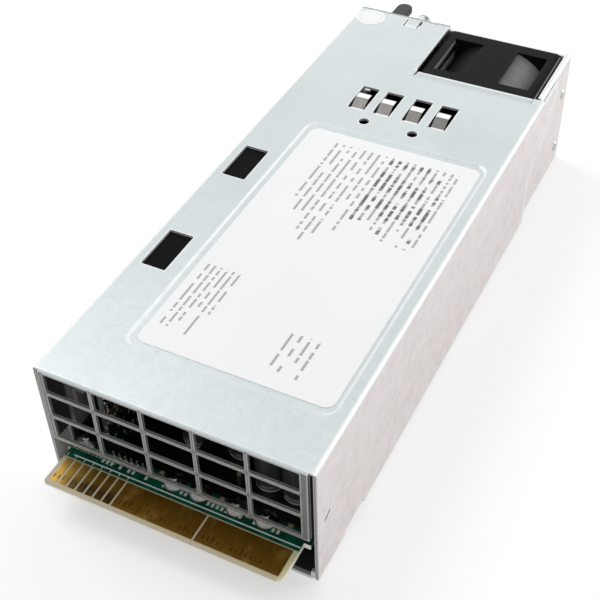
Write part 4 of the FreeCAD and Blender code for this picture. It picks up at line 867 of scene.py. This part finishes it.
dress(makeMainBoard(), "main_board")
dress(makeSmallBoard(), "control_board", "light_board")
dress(makeGold("signalGold", "signal_contacts", True), "signal_contacts")
dress(makeGold("powerGold", "power_contacts", False), "power_contacts")

# tape, ferrite and ceramic; patch is the size of a blotch
coatings = {
    "ferrite": {"base": tone(44, 45, 48), "other": tone(28, 29, 32), "roughness": 0.5, "patch": 1.5,
                "on": ("transformer_core", "resonant_choke_core", "boost_choke_core",
                       "line_choke_core")},
    "windingTape": {"base": tone(196, 162, 46), "other": tone(166, 130, 30), "roughness": 0.3,
                    "patch": 4.0, "on": ("transformer_winding", "resonant_choke_coil")},
    "blueCeramic": {"base": tone(34, 84, 150), "other": tone(24, 62, 118), "roughness": 0.3,
                    "patch": 2.0, "on": ("safety_capacitors",)},
    "fuseCeramic": {"base": tone(226, 222, 210), "other": tone(206, 200, 186), "roughness": 0.35,
                    "patch": 2.0, "on": ("line_fuse",)},
    "chipBlack": {"base": tone(30, 30, 32), "other": tone(20, 20, 22), "roughness": 0.4, "patch": 1.0},
    "chipPale": {"base": tone(176, 156, 128), "other": tone(150, 128, 100), "roughness": 0.45,
                 "patch": 1.0},
}


def makeCoated(name, look):
    f = Finish(name)
    at = f.place()
    patch = f.noise(at, look["patch"], 3.0)
    grain = f.noise(at, 0.3, 2.0)
    return f.wear(Base_Color=f.blend(patch, look["base"], look["other"]),
                  Roughness=(look["roughness"] + 0.14 * grain).limit(),
                  Normal=f.bump(grain, 0.12, 0.04))


coated = {}
for name, look in coatings.items():
    coated[name] = makeCoated(name, look)
    dress(coated[name], *look.get("on", ()))

canLook = {
    "sleeve": tone(64, 65, 68),
    "sleeveDark": tone(46, 47, 50),
    "bare": tone(228, 229, 230),
    "bareDark": tone(176, 177, 179),
    "foot": 1.25,
    "top": 0.45,
    "roughness": 0.2,
}


def makeCanSleeve():
    # black shrink sleeve that ends above the can's bare aluminium foot and leaves its top open
    f = Finish("canSleeve")
    low, high = (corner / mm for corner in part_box("output_capacitors"))
    at = f.place()
    height = f.split(at)[2]
    bare = ((height < low.z + canLook["foot"]) + (height > high.z - canLook["top"])).limit()
    grain = f.noise(at, 0.4, 2.0)
    colour = f.blend(f.noise(at, 5.0, 2.0), canLook["sleeve"], canLook["sleeveDark"])
    colour = f.blend(bare, colour, f.blend(grain, canLook["bare"], canLook["bareDark"]))
    return f.wear(Base_Color=colour, Roughness=(canLook["roughness"] + 0.1 * grain).limit(),
                  Metallic=bare * 0.4, Normal=f.bump(grain, 0.08, 0.04))


dress(makeCanSleeve(), "output_capacitors", "bulk_capacitors")
print("boards and components done")

# (radius, height) profiles; on names the nodes that the turned joints stand in for
solderLook = {
    "solderJoints": {"on": "solder_domes",
                     "profile": [(2.9, 0.0), (2.75, 0.35), (2.35, 0.85), (1.9, 1.3), (1.45, 1.6),
                                 (1.15, 1.75), (1.05, 1.95), (0.95, 2.2), (0.55, 2.3), (0.0, 2.3)]},
    "pinJoints": {"on": "solder_pins",
                  "profile": [(0.75, 0.0), (0.62, 0.22), (0.46, 0.6), (0.36, 1.0), (0.33, 1.55),
                              (0.2, 1.85), (0.0, 1.9)]},
}


def middles(name):
    # the middle and the two corners of each separate solid of a node, in millimetres
    work = bmesh.new()
    work.from_mesh(nodes[name].data)
    bmesh.ops.remove_doubles(work, verts=work.verts, dist=meshRules["joinWithin"])
    left = set(work.verts)
    found = []
    while left:
        island, edge = set(), [left.pop()]
        while edge:
            vert = edge.pop()
            island.add(vert)
            for rim in vert.link_edges:
                other = rim.other_vert(vert)
                if other in left:
                    left.discard(other)
                    edge.append(other)
        low = Vector([min(vert.co[i] for vert in island) for i in range(3)])
        high = Vector([max(vert.co[i] for vert in island) for i in range(3)])
        found.append(((low + high) / 2 / mm, low / mm, high / mm))
    work.free()
    return found


def makeSolder():
    for name, look in solderLook.items():
        work = bmesh.new()
        for middle, low, high in middles(look["on"]):
            turnedShape(work, look["profile"], (middle.x, middle.y, low.z), (0, 0, 1), 36)
        piece = addPiece(name, finishedMesh(work, name), drawnMetals["solderMetal"])
        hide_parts(look["on"])


chipLook = {
    "count": 46,
    "length": 1.6,
    "width": 0.8,
    "height": 0.5,
    "end": 0.3,
    "endGrow": 0.03,      # the ends' plating stands proud by this much
    "cardStart": (0.9, 4.5),       # the field on the control card: its corner and its size
    "cardField": (15.0, 20.0),
    "cardFace": 1.8,
    "clearOf": ((-82.0, -76.0), (25.0, 32.0)),
    "onBoard": ((-9.6, -88.5), (-8.0, -86.7), (7.2, -88.7), (9.2, -87.2), (17.2, -88.9),
                (25.6, -88.6), (27.4, -86.9), (29.3, -88.4)),
}


def chipsOnCard(bodies, ends, pale):
    # small resistors and capacitors scattered over the control card's face
    dice = random.Random(12)
    low, high = (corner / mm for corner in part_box("control_board"))
    face = high.x - chipLook["cardFace"]
    nearY, farY = chipLook["clearOf"][0]
    lowZ, highZ = chipLook["clearOf"][1]
    grow = chipLook["endGrow"]
    for i in range(chipLook["count"]):
        y = low.y + chipLook["cardStart"][0] + dice.random() ** 1.6 * chipLook["cardField"][0]
        z = low.z + chipLook["cardStart"][1] + dice.random() * chipLook["cardField"][1]
        if nearY < y < farY and lowZ < z < highZ:
            continue
        upright = dice.random() < 0.5
        along, across = chipLook["length"], chipLook["width"]
        if upright:
            along, across = across, along
        start = Vector((face, y - along / 2, z - across / 2))
        stop = Vector((face + chipLook["height"], y + along / 2, z + across / 2))
        boxShape(pale if dice.random() < 0.35 else bodies, start, stop, 0.05)
        axis = 2 if upright else 1
        for side in (0, 1):
            a, b = start.copy(), stop.copy()
            if side:
                a[axis] = b[axis] - chipLook["end"]
            else:
                b[axis] = a[axis] + chipLook["end"]
            boxShape(ends, a - Vector((0, grow, grow)), b + Vector((grow, grow, grow)), 0.04)


def chipsOnBoard(ends, pale):
    # a few more round the large solder joints
    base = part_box("main_board")[1].z / mm
    top = base + chipLook["height"]
    half, side = chipLook["length"] / 2, chipLook["width"] / 2
    end, grow = chipLook["end"], chipLook["endGrow"]
    for x, y in chipLook["onBoard"]:
        boxShape(pale, (x - half, y - side, base), (x + half, y + side, top), 0.05)
        for a, b in ((x - half - grow, x - half + end), (x + half - end, x + half + grow)):
            boxShape(ends, (a, y - side - grow, base), (b, y + side + grow, top + grow), 0.04)


def makeChips():
    bodies, ends, pale = bmesh.new(), bmesh.new(), bmesh.new()
    chipsOnCard(bodies, ends, pale)
    chipsOnBoard(ends, pale)
    for name, work, material in (("chipBodies", bodies, coated["chipBlack"]),
                                 ("chipEnds", ends, drawnMetals["tinMetal"]),
                                 ("paleChips", pale, coated["chipPale"])):
        addPiece(name, finishedMesh(work, name), material)


screwLook = {
    "cross": 0.62,            # half length of the cross recess as a share of the head's radius
    "crossWide": 0.13,        # and half its width
    "crossDeep": 0.75,
    "shankLength": 3.0,
    # outline of a pan head as shares of its radius and thickness
    "head": ((1.0, 0.0), (1.0, 0.35), (0.93, 0.7), (0.75, 0.93), (0.5, 1.0), (0.0, 1.0)),
}


def crossCutters(cutters, seat, direction, radius, thick):
    # two crossed bars that reach down into the head and stand above it
    side = direction.orthogonal().normalized()
    other = direction.cross(side)
    for first, second in ((side, other), (other, side)):
        for vert in bmesh.ops.create_cube(cutters, size=1.0)["verts"]:
            local = vert.co.copy()
            depth = thick - screwLook["crossDeep"] / 2 + local.z * (screwLook["crossDeep"] + 0.4) + 0.2
            along = first * local.x * 2 * radius * screwLook["cross"]
            across = second * local.y * 2 * radius * screwLook["crossWide"]
            vert.co = (seat + along + across + direction * depth) * mm


def makeScrewHeads(name, node, direction, radius, thick, shank):
    # pan heads with a cross recess, cut from the turned head with a boolean
    direction = Vector(direction)
    axis = max(range(3), key=lambda i: abs(direction[i]))
    work, cutters = bmesh.new(), bmesh.new()
    profile = [(0.0, -screwLook["shankLength"]), (shank, -screwLook["shankLength"]), (shank, 0.0)]
    profile += [(radius * wide, thick * high) for wide, high in screwLook["head"]]
    for middle, low, high in middles(node):
        seat = middle.copy()
        seat[axis] = (high if direction[axis] > 0 else low)[axis] - direction[axis] * thick
        turnedShape(work, profile, seat, direction, 40)
        crossCutters(cutters, seat, direction, radius, thick)
    piece = addPiece(name, finishedMesh(work, name), drawnMetals["screwSteel"])
    cutter = linkObject(name + "Cutter", finishedMesh(cutters, name + "Cutter"))
    cut = piece.modifiers.new("cross", "BOOLEAN")
    cut.operation = "DIFFERENCE"
    cut.solver = "EXACT"
    cut.use_self = True
    cut.object = cutter
    shaped = evaluatedMesh(piece)
    piece.modifiers.clear()
    piece.data = shaped
    shaped.set_sharp_from_angle(angle=meshRules["sharpAngle"])
    bpy.data.objects.remove(cutter)
    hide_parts(node)


latchSpring = {
    "wire": 0.25,
    "coil": 1.55,
    "drop": 0.7,
    "steps": 48,
    "armLeg": -33.45,     # where the arm's leg lies, against the arm's inner face
    "wallLeg": 4.2,       # how far the other leg runs forward of the pin
    "hook": 0.5,
}


def springPath(low, high, middle):
    # leg on the bracket, coil round the pin, leg and hook on the arm
    wire, coil, armLeg = latchSpring["wire"], latchSpring["coil"], latchSpring["armLeg"]
    wall, tip = low.x + wire, high.y - wire
    top = high.z - wire
    foot = top - latchSpring["drop"]
    away = math.sqrt(coil ** 2 - (armLeg - middle.x) ** 2)
    first = math.atan2(-away, armLeg - middle.x)
    last = math.atan2(away, armLeg - middle.x)
    while last > first:
        last -= math.tau
    last -= math.tau
    points = [(wall, low.y + 0.3, top), (wall, middle.y - latchSpring["wallLeg"], top)]
    for i in range(latchSpring["steps"] + 1):
        share = i / latchSpring["steps"]
        angle = first + (last - first) * share
        points.append((middle.x + coil * math.cos(angle), middle.y + coil * math.sin(angle),
                       top - latchSpring["drop"] * share))
    return points + [(armLeg, high.y - 0.6, foot), (armLeg, tip, foot - latchSpring["hook"]),
                     (armLeg, tip, low.z + 0.1)]


def makeLatchSpring():
    # a coiled torsion spring: one leg lies on the bracket, the other on the arm
    low, high = (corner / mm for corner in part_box("latch_spring"))
    pinLow, pinHigh = (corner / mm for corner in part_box("latch_pin"))
    middle = (pinLow + pinHigh) / 2
    points = springPath(low, high, middle)
    curve = bpy.data.curves.new("latchWire", "CURVE")
    curve.dimensions = "3D"
    curve.bevel_depth = latchSpring["wire"] * mm
    curve.bevel_resolution = 4
    curve.use_fill_caps = True
    line = curve.splines.new("POLY")
    line.points.add(len(points) - 1)
    for point, place in zip(line.points, points):
        point.co = (*(Vector(place) * mm), 1.0)
    wire = linkObject("latchWire", curve)
    mesh = evaluatedMesh(wire)
    bpy.data.objects.remove(wire)
    mesh.materials.clear()
    mesh.materials.append(drawnMetals["springSteel"])
    mesh.shade_smooth()
    coil = linkObject("latchCoil", mesh)
    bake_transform(coil)
    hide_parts("latch_spring")


makeLatchSpring()
makeSolder()
makeChips()
makeScrewHeads("fanScrewHeads", "fan_screws", (0, 1, 0), 2.4, 0.8, 1.5)
makeScrewHeads("coverScrewHeads", "cover_screws", (-1, 0, 0), 2.35, 0.6, 1.25)
print("small parts done")

studio = {
    "floorSize": 6.0,
    "floorTone": tone(250, 250, 250),
    "floorShare": 0.42,       # how much of the floor's white is its own, for direct views and gloss
    "floorGlow": 1.25,
    "floorGap": 0.0001,
    "worldLevel": 0.56,
    "aim": Vector((0, 0, 0.02)),
    # soft square lamps: place in metres, power in watts, width in metres
    "lamps": {
        "keyLamp": {"from": Vector((-0.75, 0.2, 1.15)), "power": 6.4, "size": 0.7},
        "fillLamp": {"from": Vector((0.85, 0.75, 0.42)), "power": 3.2, "size": 0.5},
        "backLamp": {"from": Vector((-0.35, 1.1, 0.62)), "power": 0.9, "size": 0.5},
    },
}


def makeFloor():
    mesh = bpy.data.meshes.new("floor")
    half = studio["floorSize"] / 2
    mesh.from_pydata([(-half, -half, 0), (half, -half, 0), (half, half, 0), (-half, half, 0)], [],
                     [(0, 1, 2, 3)])
    floor = linkObject("floor", mesh)
    floor.location.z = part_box("chassis_tray")[0].z - studio["floorGap"]
    f = Finish("floorPaper", Roughness=0.9, Base_Color=studio["floorTone"])
    glow = f.node("ShaderNodeEmission",
                  inputs={"Color": (1, 1, 1, 1), "Strength": studio["floorGlow"]})
    share = f.seenDirectly() * studio["floorShare"]
    plain = Wire(f, f.shader.outputs[0])
    f.show(f.node("ShaderNodeMixShader", inputs={0: share, 1: plain, 2: glow}), "Material Output")
    mesh.materials.append(f.material)


def makeLamps():
    for name, look in studio["lamps"].items():
        data = bpy.data.lights.new(name, "AREA")
        data.energy = look["power"]
        data.shape = "SQUARE"
        data.size = look["size"]
        lamp = linkObject(name, data)
        lamp.location = look["from"]
        lamp.rotation_euler = (studio["aim"] - look["from"]).to_track_quat("-Z", "Y").to_euler()


def makeWorld():
    # a plain level of light, seen as white
    world = bpy.data.worlds.new("studioWorld")
    world.use_nodes = True
    sky = NodeTree(world.node_tree)
    plain = sky.tree.nodes["Background"]
    plain.inputs["Color"].default_value = (1, 1, 1, 1)
    plain.inputs["Strength"].default_value = studio["worldLevel"]
    white = sky.node("ShaderNodeBackground", inputs={"Color": (1, 1, 1, 1)})
    sky.show(sky.node("ShaderNodeMixShader", inputs={0: sky.seenDirectly(),
                                                     1: Wire(sky, plain.outputs[0]), 2: white}),
             "World Output")
    bpy.context.scene.world = world


cameraLook = {
    "turn": 28.12,       # degrees round from the card edge end towards the fan side
    "rise": 43.24,
    "roll": -1.94,
    "lens": 67.88,       # both in millimetres
    "sensor": 36.0,
    "sideways": -12.92,  # where the lens axis passes the origin, millimetres to the right and up
    "upwards": -1.77,
    "distance": 336.27,
}


def makeCamera():
    turn = math.radians(cameraLook["turn"])
    rise = math.radians(cameraLook["rise"])
    roll = math.radians(cameraLook["roll"])
    back = Vector((math.sin(turn) * math.cos(rise), -math.cos(turn) * math.cos(rise),
                   math.sin(rise)))
    level = Vector((math.cos(turn), math.sin(turn), 0))
    above = back.cross(level)
    right = level * math.cos(roll) + above * math.sin(roll)
    up = above * math.cos(roll) - level * math.sin(roll)
    data = bpy.data.cameras.new("camera")
    data.lens = cameraLook["lens"]
    data.sensor_width = cameraLook["sensor"]
    data.clip_start = 0.01
    camera = linkObject("camera", data)
    turned = Matrix((right, up, back)).transposed().to_4x4()
    spot = (right * cameraLook["sideways"] + up * cameraLook["upwards"]
            + back * cameraLook["distance"])
    camera.matrix_world = Matrix.Translation(spot * mm) @ turned
    bpy.context.scene.camera = camera


makeFloor()
makeLamps()
makeWorld()
makeCamera()
bpy.context.scene.view_settings.view_transform = "Standard"
print("studio done")
